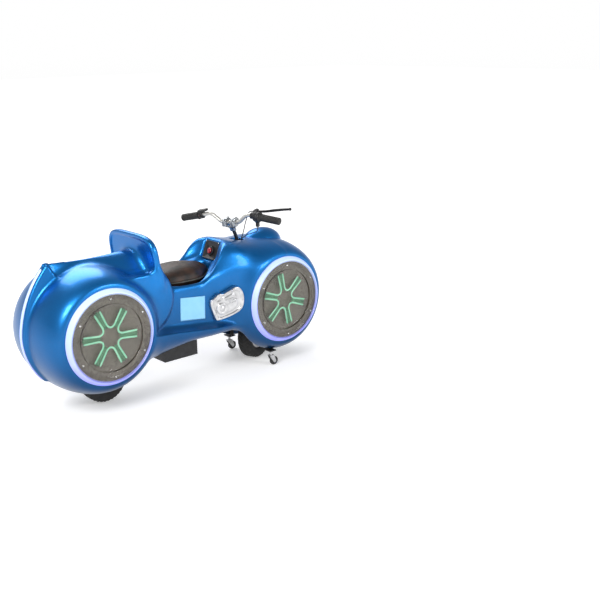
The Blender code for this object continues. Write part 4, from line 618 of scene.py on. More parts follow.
def grained(name, first, second, scale, roughness, metallic=0.0, bump=0.0, bump_scale=None, alpha=1.0,
            coat=0.0, glow=0.0):
    """A two-tone finish mixed by noise, with a fine bump of its own scale."""
    made = bpy.data.materials.new(name)
    made.use_nodes = True
    nodes, links = made.node_tree.nodes, made.node_tree.links
    shader = nodes["Principled BSDF"]
    where = nodes.new("ShaderNodeTexCoord")
    noise = nodes.new("ShaderNodeTexNoise")
    noise.inputs["Scale"].default_value = scale
    noise.inputs["Detail"].default_value = 5.0
    ramp = nodes.new("ShaderNodeValToRGB")
    ramp.color_ramp.elements[0].position = 0.32
    ramp.color_ramp.elements[1].position = 0.68
    ramp.color_ramp.elements[0].color = (*first, 1.0)
    ramp.color_ramp.elements[1].color = (*second, 1.0)
    links.new(where.outputs["Object"], noise.inputs["Vector"])
    links.new(noise.outputs["Fac"], ramp.inputs["Fac"])
    links.new(ramp.outputs["Color"], shader.inputs["Base Color"])
    if bump:
        grain = nodes.new("ShaderNodeTexVoronoi")
        grain.inputs["Scale"].default_value = bump_scale or scale * 8.0
        relief = nodes.new("ShaderNodeBump")
        relief.inputs["Strength"].default_value = bump
        relief.inputs["Distance"].default_value = 0.001
        links.new(where.outputs["Object"], grain.inputs["Vector"])
        links.new(grain.outputs["Distance"], relief.inputs["Height"])
        links.new(relief.outputs["Normal"], shader.inputs["Normal"])
    if glow:
        links.new(ramp.outputs["Color"], shader.inputs["Emission Color"])
        shader.inputs["Emission Strength"].default_value = glow
    shader.inputs["Roughness"].default_value = roughness
    shader.inputs["Metallic"].default_value = metallic
    shader.inputs["Alpha"].default_value = alpha
    shader.inputs["Coat Weight"].default_value = coat
    return made


def turned_flat(points, degrees):
    """Plane points turned about the disc's middle."""
    angle = math.radians(degrees)
    turn = np.array([[math.cos(angle), -math.sin(angle)], [math.sin(angle), math.cos(angle)]])
    return points @ turn.T


def line_path():
    """One light line: in along a spoke, round a vertex near the hub and out along the next spoke."""
    spoke = np.array([math.cos(math.radians(30.0)), math.sin(math.radians(30.0))])
    side = np.array([spoke[1], -spoke[0]])
    tip = spoke * LINE_REACH + side * LINE_OFFSETS[1]
    start = spoke * (LINE_VERTEX + 0.031) + side * LINE_OFFSETS[0]
    t = np.linspace(0.0, 1.0, 13)[:, None]
    knee = np.array([LINE_VERTEX * 1.02, 0.0])
    curve = (1 - t) ** 2 * start + 2 * t * (1 - t) * knee + t**2 * (start * (1, -1))
    mirrored = np.linspace(start * (1, -1), tip * (1, -1), 12)[1:]
    return np.concatenate([np.linspace(tip, start, 12)[:-1], curve, mirrored])


def ribbon_grid(path, half, low, high):
    """A flat bar with rounded edges along a plane path: a stadium section carried by its normal."""
    along = np.gradient(path, axis=0)
    along = along / np.linalg.norm(along, axis=1)[:, None]
    normal = np.stack([-along[:, 1], along[:, 0]], 1)
    turn = np.linspace(0.0, 2.0 * math.pi, 11)[:-1]
    widths = np.broadcast_to(np.asarray(half, float), (len(path),)).copy()
    widths[[0, -1]] = 0.0
    lifts = np.where(widths > 0.0, (high - low) / 2, 0.0)
    flat = path[:, None, :] + (widths[:, None] * np.cos(turn)[None, :])[..., None] * normal[:, None, :]
    up = (low + high) / 2 + lifts[:, None] * np.sin(turn)[None, :]
    return np.concatenate([flat, up[..., None]], 2)


taupe_pan = grained("taupe_pan", (0.165, 0.150, 0.122), (0.310, 0.284, 0.235), 75.0, 0.42, bump=0.05,
                    bump_scale=240.0)
clear_cover = grained("smoked_acrylic", (0.060, 0.052, 0.044), (0.085, 0.074, 0.062), 5.0, 0.06, alpha=0.16,
                      coat=1.0)
dish_wall = grained("smoked_dish_wall", (0.030, 0.024, 0.018), (0.075, 0.060, 0.046), 12.0, 0.12, coat=1.0)
mint_lines = grained("mint_acrylic", (0.22, 0.62, 0.40), (0.34, 0.76, 0.52), 20.0, 0.35, glow=0.42)
green_plate = grained("green_spoke_plate", (0.075, 0.240, 0.125), (0.120, 0.330, 0.180), 30.0, 0.40)
bright_screw = grained("bright_screw", (0.55, 0.55, 0.54), (0.80, 0.80, 0.78), 120.0, 0.22, metallic=1.0)
screw_angles = np.radians(90.0 + 360.0 / SCREW_COUNT * np.arange(SCREW_COUNT))
screw_heads = [turned_grid(SCREW_PROFILE, 14) + np.array([SCREW_RADIUS * math.cos(a), SCREW_RADIUS * math.sin(a),
                                                        0.0256]) for a in screw_angles]
plate_run = np.linspace(PLATE_ROOT - 0.012, LINE_REACH + 0.004, 14)
plate_path = np.stack([plate_run, np.zeros(14)], 1)
plate_half = np.interp(plate_run, (PLATE_ROOT, LINE_REACH), LINE_OFFSETS) - 0.6 * LINE_HALF
for place, centre, side, turn in DISC_PLACES:
    sheet_piece(f"pan_{place}", on_pod(turned_grid(PAN_PROFILE, 96), centre, side), taupe_pan, "chassis",
                [f"disc_pan_{place}"])
    sheet_piece(f"clear_cover_{place}", on_pod(turned_grid(COVER_PROFILE, 128), centre, side), clear_cover,
                "chassis", [f"disc_cover_{place}"])
    sheet_piece(f"dish_wall_{place}", on_pod(turned_grid(WALL_PROFILE, 128), centre, side), dish_wall, "chassis",
                close_rows=True, smooth=False)
    lines = [ribbon_grid(turned_flat(line_path(), turn + 60.0 * k), LINE_HALF, -0.0012, 0.0020) for k in range(6)]
    sheet_piece(f"light_lines_{place}", [on_pod(line, centre, side) for line in lines], mint_lines, "chassis",
                [f"spoke_light_{place}"])
    plates = [ribbon_grid(turned_flat(plate_path, turn + 30.0 + 60.0 * k), plate_half, -0.0060, -0.0020)
              for k in range(6)]
    sheet_piece(f"spoke_plates_{place}", [on_pod(plate, centre, side) for plate in plates], green_plate,
                "chassis")
    sheet_piece(f"cover_screws_{place}", [on_pod(head, centre, side) for head in screw_heads], bright_screw,
                "chassis")


# Tail lamp: one milky strip let into the tail rib, glowing as the rings do.
STRIP_TURNS = (122.0, 220.0)
STRIP_HALF_WIDTH = 0.0110
STRIP_HALF_THICKNESS = 0.0060
STRIP_PROUD = 0.0040


def soft_square(turn, power):
    """Cosine and sine raised to a power, sign kept: a square with rounded corners."""
    return (np.sign(np.cos(turn)) * np.abs(np.cos(turn)) ** power,
            np.sign(np.sin(turn)) * np.abs(np.sin(turn)) ** power)


strip_angle = np.linspace(*STRIP_TURNS, 140)
strip_across, strip_up = soft_square(np.linspace(0.0, 2.0 * math.pi, 25)[:-1], 0.6)
strip_taper = np.clip(np.minimum(strip_angle - STRIP_TURNS[0], STRIP_TURNS[1] - strip_angle) / 0.8, 0.0, 1.0)
strip_lift = strip_up * STRIP_HALF_THICKNESS + STRIP_PROUD - STRIP_HALF_THICKNESS
strip_radius = rib_crest(strip_angle)[:, None] + strip_lift[None, :] * strip_taper[:, None]
strip_grid = np.stack([REAR_POD[0] + strip_radius * np.cos(np.radians(strip_angle))[:, None],
                       strip_across[None, :] * STRIP_HALF_WIDTH * strip_taper[:, None],
                       REAR_POD[1] + strip_radius * np.sin(np.radians(strip_angle))[:, None]], 2)
sheet_piece("tail_lamp", strip_grid, ring_plastic, "chassis", ["tail_light_strip"])


# Side sheet: a thin pale sheet stuck to the right flank ahead of the footboard; it follows the
# flank's curve and stands just proud of the paint.
SHEET_CORNERS = np.array([[(-0.101, 0.398), (0.060, 0.379)], [(-0.095, 0.526), (0.064, 0.508)]])
SHEET_PROUD = 0.0012


def flank_reach(x, z):
    """Half width of the body at a place on its side, by halving between outside and inside."""
    outer, inner = np.full(x.shape, 0.320), np.full(x.shape, 0.120)
    for _ in range(34):
        middle = (outer + inner) / 2.0
        inside = body_field(x, middle, z) < 0.0
        inner, outer = np.where(inside, middle, inner), np.where(inside, outer, middle)
    return outer


sheet_at_u = np.linspace(0.0, 1.0, 33)[None, :, None]
sheet_at_v = np.linspace(0.0, 1.0, 25)[:, None, None]
(low_rear, low_front), (high_rear, high_front) = SHEET_CORNERS
sheet_at_flat = ((1 - sheet_at_v) * ((1 - sheet_at_u) * low_rear + sheet_at_u * low_front)
               + sheet_at_v * ((1 - sheet_at_u) * high_rear + sheet_at_u * high_front))
sheet_at_reach = flank_reach(sheet_at_flat[..., 0], sheet_at_flat[..., 1])
sheet_at_front = np.stack([sheet_at_flat[..., 0], -sheet_at_reach - SHEET_PROUD, sheet_at_flat[..., 1]], 2)
sheet_at_back = sheet_at_front + (0.0, 1.6 * SHEET_PROUD, 0.0)
sheet_at_back[[0, -1]] = sheet_at_front[[0, -1]]
sheet_finish = grained("pale_sheet", (0.215, 0.520, 0.800), (0.255, 0.570, 0.850), 16.0, 0.45, bump=0.04)
sheet_piece("side_sheet", np.concatenate([sheet_at_front, sheet_at_back[:, ::-1]], 1), sheet_finish, "chassis")


# Flank castings: polished alloy covers bolted through the waist, with a raised rim, a sunk panel, a
# turned boss and a row of small bolts.
ENGINE_PLACE = (0.188, 0.440)
ENGINE_OUTLINE = np.array([(-0.100, 0.028), (-0.062, 0.048), (-0.042, 0.066), (-0.022, 0.058), (0.012, 0.072),
                           (0.062, 0.094), (0.090, 0.066), (0.101, 0.020), (0.090, -0.036), (0.040, -0.062),
                           (-0.056, -0.084), (-0.068, -0.070)])
ENGINE_STEPS = ((0.0, -0.034), (1.0, -0.034), (1.0, -0.0060), (0.990, -0.0022), (0.965, -0.0003), (0.930, 0.0),
                (0.850, 0.0), (0.825, -0.0012), (0.805, -0.0046), (0.780, -0.0056), (0.640, -0.0050),
                (0.615, -0.0036), (0.590, -0.0016), (0.560, -0.0010), (0.300, 0.0), (0.0, 0.0))
ENGINE_BOSS_PLACE = np.array([-0.030, -0.018])
ENGINE_BOSS = ((0.0, 0.0046), (0.0095, 0.0046), (0.0110, 0.0030), (0.0165, 0.0030), (0.0180, 0.0062),
               (0.0200, 0.0070), (0.0300, 0.0066), (0.0330, 0.0048), (0.0340, 0.0012), (0.0340, -0.012), (0.0, -0.012))
ENGINE_BOLT = ((0.0, 0.0046), (0.0034, 0.0044), (0.0050, 0.0034), (0.0056, 0.0014), (0.0056, -0.003), (0.0, -0.003))
ENGINE_BOLTS = 9
ENGINE_SPAN = (0.085, 0.295)
ENGINE_PROUD = 0.013
ENGINE_RIBS = ((0.020, 0.030, 0.060), (0.036, 0.020, 0.052), (0.030, 0.006, 0.048))


def rounded_outline(points, rounds):
    """A closed outline with its corners cut again and again at a quarter and three quarters."""
    for _ in range(rounds):
        ahead = np.roll(points, -1, axis=0)
        points = np.stack([0.75 * points + 0.25 * ahead, 0.25 * points + 0.75 * ahead], 1).reshape(-1, 2)
    return points


def on_flank(grid, side):
    """A grid of (x, z, height) about a casting's middle, laid on the slanting plateau of one side."""
    x = ENGINE_PLACE[0] + grid[..., 0]
    return np.stack([x, side * (np.interp(x, ENGINE_SPAN, engine_plateau) + grid[..., 2]),
                     ENGINE_PLACE[1] + grid[..., 1]], -1)


alloy = grained("polished_alloy", (0.50, 0.50, 0.51), (0.66, 0.66, 0.67), 28.0, 0.30, 1.0, 0.03, 160.0)
engine_plateau = flank_reach(np.array(ENGINE_SPAN), np.full(2, ENGINE_PLACE[1])) + ENGINE_PROUD
engine_edge = 1.05 * rounded_outline(ENGINE_OUTLINE, 4)
engine_steps = np.array(ENGINE_STEPS)
engine_cover = np.concatenate([engine_edge[None] * engine_steps[:, None, :1],
                               np.broadcast_to(engine_steps[:, None, 1:], (len(engine_steps), len(engine_edge), 1))], 2)
engine_bolt_places = engine_edge[np.linspace(0, len(engine_edge), ENGINE_BOLTS + 1).astype(int)[:-1]] * 0.89
engine_grids = [engine_cover, turned_grid(ENGINE_BOSS, 60) + np.append(ENGINE_BOSS_PLACE, 0.0)]
engine_grids += [turned_grid(ENGINE_BOLT, 18) + np.append(place, 0.0) for place in engine_bolt_places]
for rib_x, rib_z, rib_length in ENGINE_RIBS:
    rib_path = np.stack([np.linspace(rib_x - rib_length / 2, rib_x + rib_length / 2, 16),
                         rib_z + np.linspace(-0.004, 0.004, 16)], 1)
    engine_grids.append(ribbon_grid(rib_path, 0.0042, -0.0030, 0.0032))
for label, side in (("right", -1), ("left", 1)):
    sheet_piece(f"flank_casting_{label}", [on_flank(grid, side) for grid in engine_grids], alloy, "chassis",
                [f"engine_cover_{label}"])


# Seat cushion: foam on a board in mottled leatherette, domed from its edge to the crown and edged with a
# sewn piping.  The cover is blown out by cloth under pressure, its base pinned to the board.
SEAT_GAP = 0.0125
SEAT_PROFILE = ((0.0, 0.5735), (0.50, 0.5735), (0.90, 0.5735), (0.965, 0.5765), (0.995, 0.5850), (1.0, 0.5950),
                (0.990, 0.6070), (0.962, 0.6190), (0.910, 0.6310), (0.825, 0.6430), (0.705, 0.6535),
                (0.540, 0.6620), (0.350, 0.6675), (0.160, 0.6700), (0.0, 0.6705))
SEAT_VOXEL = 0.0050
SEAT_MOVE = 0.010
SEAT_PRESSURE = 4.0
SEAT_FRAMES = 20
PIPING_GAP = 0.0080
PIPING_Z = 0.5975
PIPING_R = 0.0036


def egg_plan(turn, gap):
    """Outline of the seat well drawn in by a gap: x and y for each angle."""
    across, up = soft_square(turn, 0.7)
    x = WELL_MIDDLE_X + (WELL_HALF_LENGTH - gap) * across
    width = 0.158 - 0.090 * smooth_rise((x - WELL_MIDDLE_X) / WELL_HALF_LENGTH) ** 1.5
    return np.stack([x, (width - 1.5 * gap) * up], 1)


def swept_grid(path, radius, sides, other=None, lean=(0.0, 0.0, 1.0), closed=False):
    """A tube along a path: radius times cosine on the side axis, other radius times sine on the lean axis."""
    path = np.asarray(path, float)
    if closed:
        along = np.roll(path, -1, axis=0) - np.roll(path, 1, axis=0)
    else:
        along = np.gradient(path, axis=0)
    along = along / np.linalg.norm(along, axis=1)[:, None]
    up = np.asarray(lean, float) - along * (along @ np.asarray(lean, float))[:, None]
    up = up / np.linalg.norm(up, axis=1)[:, None]
    side = np.cross(along, up)
    turn = np.linspace(0.0, 2.0 * math.pi, sides + 1)[:-1]
    wide = np.broadcast_to(np.asarray(radius, float), (len(path),))
    tall = wide if other is None else np.broadcast_to(np.asarray(other, float), (len(path),))
    grid = (path[:, None] + (wide[:, None] * np.cos(turn))[..., None] * side[:, None]
            + (tall[:, None] * np.sin(turn))[..., None] * up[:, None])
    if closed:
        return grid
    cap = np.ones((1, sides, 1))
    return np.concatenate([path[:1, None] * cap, grid, path[-1:, None] * cap])


def blown_out(piece, limit, base_z):
    """Remeshes a piece, fills it by cloth under pressure with its base pinned, and keeps at most limit of
    each point's move."""
    remesh = piece.modifiers.new("even", "REMESH")
    remesh.mode = "VOXEL"
    remesh.voxel_size = SEAT_VOXEL
    graph = bpy.context.evaluated_depsgraph_get()
    even = bpy.data.meshes.new_from_object(piece.evaluated_get(graph))
    piece.modifiers.remove(remesh)
    count = len(even.vertices)
    rest = np.empty(count * 3)
    even.vertices.foreach_get("co", rest)
    rest = rest.reshape(-1, 3)
    edges = np.empty(len(even.edges) * 2, int)
    even.edges.foreach_get("vertices", edges)
    first, second = edges.reshape(-1, 2).T
    degree = np.bincount(first, minlength=count) + np.bincount(second, minlength=count)

    def eased(points, rounds):
        for _ in range(rounds):
            total = np.zeros_like(points)
            np.add.at(total, first, points[second])
            np.add.at(total, second, points[first])
            points = 0.5 * points + 0.5 * total / degree[:, None]
        return points

    rest = eased(rest, 4)
    even.vertices.foreach_set("co", rest.ravel())
    even.update()
    piece.data = even
    pins = piece.vertex_groups.new(name="base")
    pins.add(np.flatnonzero(rest[:, 2] < base_z).tolist(), 1.0, "REPLACE")
    cloth = piece.modifiers.new("blow", "CLOTH")
    cloth.settings.use_pressure = True
    cloth.settings.uniform_pressure_force = SEAT_PRESSURE
    cloth.settings.effector_weights.gravity = 0.0
    cloth.settings.vertex_group_mass = "base"
    cloth.settings.quality = 6
    cloth.point_cache.frame_start, cloth.point_cache.frame_end = 1, SEAT_FRAMES
    for frame_number in range(1, SEAT_FRAMES + 1):
        bpy.context.scene.frame_set(frame_number)
    graph = bpy.context.evaluated_depsgraph_get()
    blown = np.empty(count * 3)
    piece.evaluated_get(graph).data.vertices.foreach_get("co", blown)
    move = blown.reshape(-1, 3) - rest
    length = np.linalg.norm(move, axis=1)[:, None]
    final = eased(rest + move * np.minimum(1.0, limit / np.maximum(length, 1e-9)), 2)
    piece.modifiers.remove(cloth)
    piece.vertex_groups.remove(pins)
    bpy.context.scene.frame_set(1)
    piece.data.vertices.foreach_set("co", final.ravel())
    piece.data.polygons.foreach_set("use_smooth", np.full(len(piece.data.polygons), True))
    piece.data.update()
    finer = piece.modifiers.new("finer", "SUBSURF")
    finer.levels = finer.render_levels = 1


leatherette = grained("mottled_leatherette", (0.0040, 0.0036, 0.0034), (0.052, 0.022, 0.012), 22.0, 0.44, 0.0, 0.55,
                      420.0)
seat_turn = np.linspace(0.0, 2.0 * math.pi, 145)[:-1]
seat_edge = egg_plan(seat_turn, SEAT_GAP)
seat_rows = [np.column_stack([WELL_MIDDLE_X + (seat_edge[:, 0] - WELL_MIDDLE_X) * share, seat_edge[:, 1] * share,
                              np.full(len(seat_edge), height)]) for share, height in SEAT_PROFILE]
cushion = sheet_piece("cushion", np.stack(seat_rows), leatherette, "chassis",
                      ["seat_cushion"])
blown_out(cushion, SEAT_MOVE, 0.5755 + plane_shift[2])
cushion.data.materials.clear()
cushion.data.materials.append(leatherette)
piping_path = np.column_stack([egg_plan(seat_turn, PIPING_GAP), np.full(len(seat_turn), PIPING_Z)])
piping_vinyl = grained("piping_vinyl", (0.030, 0.032, 0.028), (0.075, 0.080, 0.070), 40.0, 0.35, bump=0.1)
sheet_piece("seat_piping", swept_grid(piping_path, PIPING_R, 12, closed=True), piping_vinyl, "chassis",
            close_rows=True)


# Dashboard: a grained plastic panel screwed into the hollow of the tank, with a raised border and the
# collar of one domed red start button.
DASH_PLACE = (0.250, 0.703)
DASH_LEAN = math.radians(20.0)
DASH_HALF = (0.062, 0.052)
DASH_STEPS = ((0.0, -0.0083), (1.0, -0.0083), (1.0, -0.0012), (0.988, -0.0003), (0.915, -0.0003), (0.895, -0.0022),
              (0.0, -0.0022))
BUTTON_UP = -0.004
BEZEL_PROFILE = ((0.0176, -0.0030), (0.0262, -0.0030), (0.0262, 0.0012), (0.0250, 0.0036), (0.0225, 0.0046),
                 (0.0195, 0.0046), (0.0180, 0.0036), (0.0176, 0.0016))
BUTTON_PROFILE = ((0.0, 0.0146), (0.0060, 0.0142), (0.0108, 0.0130), (0.0145, 0.0108), (0.0160, 0.0086),
                  (0.0165, 0.0066), (0.0165, 0.0055), (0.0, 0.0055))
DASH_SCREW = ((0.0, 0.0022), (0.0022, 0.0019), (0.0036, 0.0008), (0.0038, -0.001), (0.0, -0.001))


def on_dash(grid):
    """A grid of (across, up, out) on the leaning panel."""
    up, out = grid[..., 1], grid[..., 2]
    return np.stack([DASH_PLACE[0] - out * math.cos(DASH_LEAN) + up * math.sin(DASH_LEAN), grid[..., 0],
                     DASH_PLACE[1] + out * math.sin(DASH_LEAN) + up * math.cos(DASH_LEAN)], -1)


black_plastic = grained("black_grained_plastic", (0.005, 0.005, 0.006), (0.011, 0.011, 0.012), 30.0, 0.42, 0.0,
                        0.18, 1100.0)
red_plastic = grained("red_plastic", (0.30, 0.008, 0.014), (0.44, 0.020, 0.030), 60.0, 0.28, coat=0.6)
dash_across, dash_up = soft_square(np.linspace(0.0, 2.0 * math.pi, 121)[:-1], 0.22)
dash_steps = np.array(DASH_STEPS)
dash_grid = np.stack([np.outer(dash_steps[:, 0], dash_across) * DASH_HALF[0],
                      np.outer(dash_steps[:, 0], dash_up) * DASH_HALF[1],
                      np.repeat(dash_steps[:, 1:], len(dash_across), 1)], 2)
sheet_piece("dashboard", on_dash(dash_grid), black_plastic, "chassis", ["dash_panel"])
dash_screws = [turned_grid(DASH_SCREW, 14) + np.array([a * 0.0565, b * 0.0465, -0.0003])
               for a in (-1, 1) for b in (-1, 1)]
sheet_piece("dash_screws", [on_dash(screw) for screw in dash_screws], bright_screw, "chassis")
sheet_piece("start_collar", on_dash(turned_grid(BEZEL_PROFILE, 48) + np.array([0.0, BUTTON_UP, 0.0])), black_plastic,
            "chassis", close_rows=True)
sheet_piece("start_dome", on_dash(turned_grid(BUTTON_PROFILE, 48) + np.array([0.0, BUTTON_UP, 0.0])), red_plastic,
            "start", ["start_button"])


# Handlebar: one polished tube bent up at the clamp and out along the grips, held by a knobbly alloy
# clamp on a dark stem.  The bars stand turned to the left, as in the photo.
AXLE_PLACE = np.array([0.547, 0.0, 0.127])
RAKE = math.radians(-10.0)
STEER = math.radians(17.5)
BAR_X = -0.030
BAR_R = 0.011
BAR_BENDS = np.array([(0.0, 0.734), (0.020, 0.734), (0.040, 0.734), (0.065, 0.7387), (0.090, 0.7575),
                      (0.120, 0.7775), (0.140, 0.7810)])
GRIP_TURN = math.radians(99.2)
STEM_PATH = np.array([(0.0, 0.0, 0.600), (0.0, 0.0, 0.615), (-0.001, 0.0, 0.632), (-0.015, 0.0, 0.682),
                      (-0.030, 0.0, 0.734)])
STEM_R = 0.0105
CLAMP_PLACE = (-0.030, 0.0, 0.732)
CLAMP_STEP = 0.0018


def steered(points):
    """Steering-frame points to the machine: turned about the column, leaned by the rake, set on the axle."""
    lean = np.array([[math.cos(RAKE), 0, math.sin(RAKE)], [0, 1, 0], [-math.sin(RAKE), 0, math.cos(RAKE)]])
    turn = np.array([[math.cos(STEER), -math.sin(STEER), 0], [math.sin(STEER), math.cos(STEER), 0], [0, 0, 1]])
    return np.asarray(points, float) @ (lean @ turn).T + AXLE_PLACE


def on_bar(points, side):
    """Points in a grip's frame, Z outwards along the bar, to the machine."""
    points = np.asarray(points, float)
    c, s = math.cos(GRIP_TURN), math.sin(GRIP_TURN)
    x, y, z = points[..., 0], points[..., 1], points[..., 2]
    return steered(np.stack([BAR_X + x, side * 0.140 + y * c + side * z * s, 0.781 - side * y * s + z * c], -1))


def eased_path(points, count):
    """Cubic path through points, with slopes taken over the length so far."""
    points = np.asarray(points, float)
    run = np.concatenate([[0.0], np.cumsum(np.linalg.norm(np.diff(points, axis=0), axis=1))])
    slope = np.gradient(points, run, axis=0)
    at = np.linspace(0.0, run[-1], count)
    k = np.clip(np.searchsorted(run, at, side="right") - 1, 0, len(run) - 2)
    gap = (run[k + 1] - run[k])[:, None]
    t = ((at - run[k])[:, None]) / gap
    return ((2 * t**3 - 3 * t**2 + 1) * points[k] + (t**3 - 2 * t**2 + t) * gap * slope[k]
            + (3 * t**2 - 2 * t**3) * points[k + 1] + (t**3 - t**2) * gap * slope[k + 1])


def clamp_field(x, y, z):
    """The bar clamp: a block and two barrels round the bar, a neck on the stem, ears and four bolt heads."""
    dx, dz = x - CLAMP_PLACE[0], z - CLAMP_PLACE[2]
    block = rounded_box(rounded_box(dx, dz, 0.026, 0.024, 0.008), y, 0.0, 0.030, 0.0) + 0.0
    barrel = np.maximum(np.hypot(dx, dz) - 0.0235, np.abs(np.abs(y) - 0.029) - 0.013)
    neck = np.maximum(np.hypot(dx + 0.29 * dz, y) - 0.0185, np.maximum(-0.052 - dz, dz))
    form = melt(melt(np.maximum(block, np.abs(y) - 0.030), barrel, 0.008), neck, 0.014)
    for a in (-1.0, 1.0):
        ear = rounded_box(dx - a * 0.024, np.abs(y) - 0.029, 0.0095, 0.0105, 0.004)
        form = melt(form, np.maximum(ear, np.abs(dz) - 0.0150), 0.006)
        bolt = np.hypot(dx - a * 0.024, np.abs(y) - 0.029) - 0.0062
        form = melt(form, np.maximum(bolt, np.abs(dz - 0.012) - 0.0135), 0.003)
    return form


bar_half = np.concatenate([BAR_BENDS, [(0.140 + reach * math.sin(GRIP_TURN), 0.781 + reach * math.cos(GRIP_TURN))
                                       for reach in (0.020, 0.060, 0.120, 0.196)]])
bar_line = np.concatenate([bar_half[:0:-1] * (-1, 1), bar_half])
bar_path = eased_path(np.column_stack([np.full(len(bar_line), BAR_X), bar_line]), 200)
bar_chrome = grained("bar_chrome", (0.54, 0.53, 0.50), (0.68, 0.67, 0.63), 24.0, 0.42, 0.70, 0.03, 220.0)
dark_steel = grained("dark_stem_steel", (0.030, 0.030, 0.032), (0.060, 0.060, 0.062), 50.0, 0.35, 0.7, 0.1, 500.0)
sheet_piece("handlebar", steered(swept_grid(bar_path, BAR_R, 28, lean=(1.0, 0.0, 0.0))), bar_chrome, "steering",
            ["handlebar_tube"])
sheet_piece("stem_tube", steered(swept_grid(eased_path(STEM_PATH, 60), STEM_R, 24, lean=(1.0, 0.0, 0.0))),
            dark_steel, "steering")
clamp_alloy = grained("clamp_alloy", (0.30, 0.32, 0.34), (0.44, 0.46, 0.48), 60.0, 0.36, 0.9, 0.08, 300.0)
clamp_points, clamp_quads = skin_over(clamp_field, np.add(CLAMP_PLACE, (-0.050, -0.050, -0.060)),
                                      np.add(CLAMP_PLACE, (0.050, 0.050, 0.040)), CLAMP_STEP)
mesh_piece("bar_clamp", steered(clamp_points), clamp_quads, clamp_alloy, "steering",
           ["handlebar_stem"])


# Grips: ribbed rubber sleeves with an inner flange; the left one is pushed on the bar, the right one
# turns on it as the throttle.
GRIP_ENDS = (0.0720, 0.2000)
GRIP_R = 0.0208
GRIP_RIB = 0.0011
GRIP_RIBS = 17
rubber = grained("black_rubber", (0.005, 0.005, 0.005), (0.012, 0.012, 0.012), 50.0, 0.55, 0.0, 0.2, 700.0)
grip_run = np.linspace(GRIP_ENDS[0] + 0.0075, GRIP_ENDS[1] - 0.0050, 240)
grip_share = (grip_run - grip_run[0]) / (grip_run[-1] - grip_run[0])
grip_r = GRIP_R - GRIP_RIB * np.abs(np.sin(math.pi * GRIP_RIBS * grip_share)) ** 6
grip_flange = [(0.0, GRIP_ENDS[0]), (0.0242, GRIP_ENDS[0]), (0.0250, GRIP_ENDS[0] + 0.0008),
               (0.0250, GRIP_ENDS[0] + 0.0036), (0.0242, GRIP_ENDS[0] + 0.0046), (0.0214, GRIP_ENDS[0] + 0.0056)]
grip_end = [(GRIP_R - 0.0008, GRIP_ENDS[1] - 0.0028), (GRIP_R - 0.0030, GRIP_ENDS[1] - 0.0008),
            (GRIP_R - 0.0055, GRIP_ENDS[1]), (0.0, GRIP_ENDS[1])]
grip_profile = np.array(grip_flange + list(zip(grip_r, grip_run)) + grip_end)
for label, side, body, node in (("right", -1, "throttle", "throttle_grip"), ("left", 1, "steering", "left_grip")):
    sheet_piece(f"grip_{label}", on_bar(turned_grid(grip_profile, 48), side), rubber, body, [node])


# Throttle housing and brake perch: plastic mouldings clamped on the right of the bar; the housing has a
# cable boot below, the perch a forked arm for the lever's pivot bolt.
HOUSING_R = 0.0290
HOUSING_ENDS = (0.0357, 0.0717)
BOOT_FOOT_Y = -0.058
PERCH_R = 0.0190
PERCH_ENDS = (0.0114, 0.0354)
LEVER_PIVOT = np.array([0.0440, 0.0125, 0.0234])
MOULD_STEP = 0.0015


def housing_field(x, y, z):
    """A short rounded barrel with a parting groove and two screw bosses, and the cable boot under it."""
    middle = sum(HOUSING_ENDS) / 2
    barrel = rounded_box(np.hypot(x, y), z - middle, HOUSING_R, 0.0180, 0.0050)
    groove = np.hypot(np.hypot(x, y) - HOUSING_R, z - middle) - 0.0012
    boss = np.maximum(np.hypot(np.abs(x) - 0.0235, z - middle) - 0.0060, np.abs(y) - 0.0150)
    boot = rounded_box(rounded_box(x, z - middle, 0.0105, 0.0095, 0.0050), y - BOOT_FOOT_Y / 2, 0.0, 0.0, 0.0)
    boot = np.maximum(rounded_box(x, z - middle, 0.0105, 0.0095, 0.0050), np.maximum(BOOT_FOOT_Y - y, y))
    rings = np.abs(((-y - 0.034) / 0.007) % 1.0 - 0.5) * 0.0022 * (y < -0.034)
    return carve(melt(melt(barrel, boss, 0.004), boot + rings, 0.010), groove, 0.0008)


def perch_field(x, y, z):
    """A clamp barrel with a forked arm, slotted for the lever's root and capped by the pivot bolt."""
    middle = sum(PERCH_ENDS) / 2
    barrel = rounded_box(np.hypot(x, y), z - middle, PERCH_R, 0.0120, 0.0030)
    arm = np.maximum(rounded_box(x - 0.0340, z - middle, 0.0190, 0.0108, 0.0080),
                     np.abs(y - LEVER_PIVOT[1]) - 0.0120)
    slot = np.maximum(np.abs(y - LEVER_PIVOT[1]) - 0.0064, np.maximum(0.0340 - x, np.abs(z - middle) - 0.05))
    bolt = np.maximum(np.hypot(x - LEVER_PIVOT[0], z - LEVER_PIVOT[2]) - 0.0050, np.abs(y - LEVER_PIVOT[1]) - 0.0150)
    bolt = np.maximum(bolt, 0.0110 - np.abs(y - LEVER_PIVOT[1]))
    return melt(carve(melt(barrel, arm, 0.008), slot, 0.0012), bolt, 0.0010)


housing_points, housing_quads = skin_over(housing_field, (-0.036, -0.064, 0.030), (0.036, 0.036, 0.078), MOULD_STEP)
mesh_piece("throttle_case", on_bar(housing_points, -1), housing_quads, black_plastic, "steering",
           ["throttle_housing"])
perch_points, perch_quads = skin_over(perch_field, (-0.025, -0.025, 0.005), (0.060, 0.036, 0.042), MOULD_STEP)
mesh_piece("lever_perch", on_bar(perch_points, -1), perch_quads, black_plastic, "steering",
           ["brake_perch"])


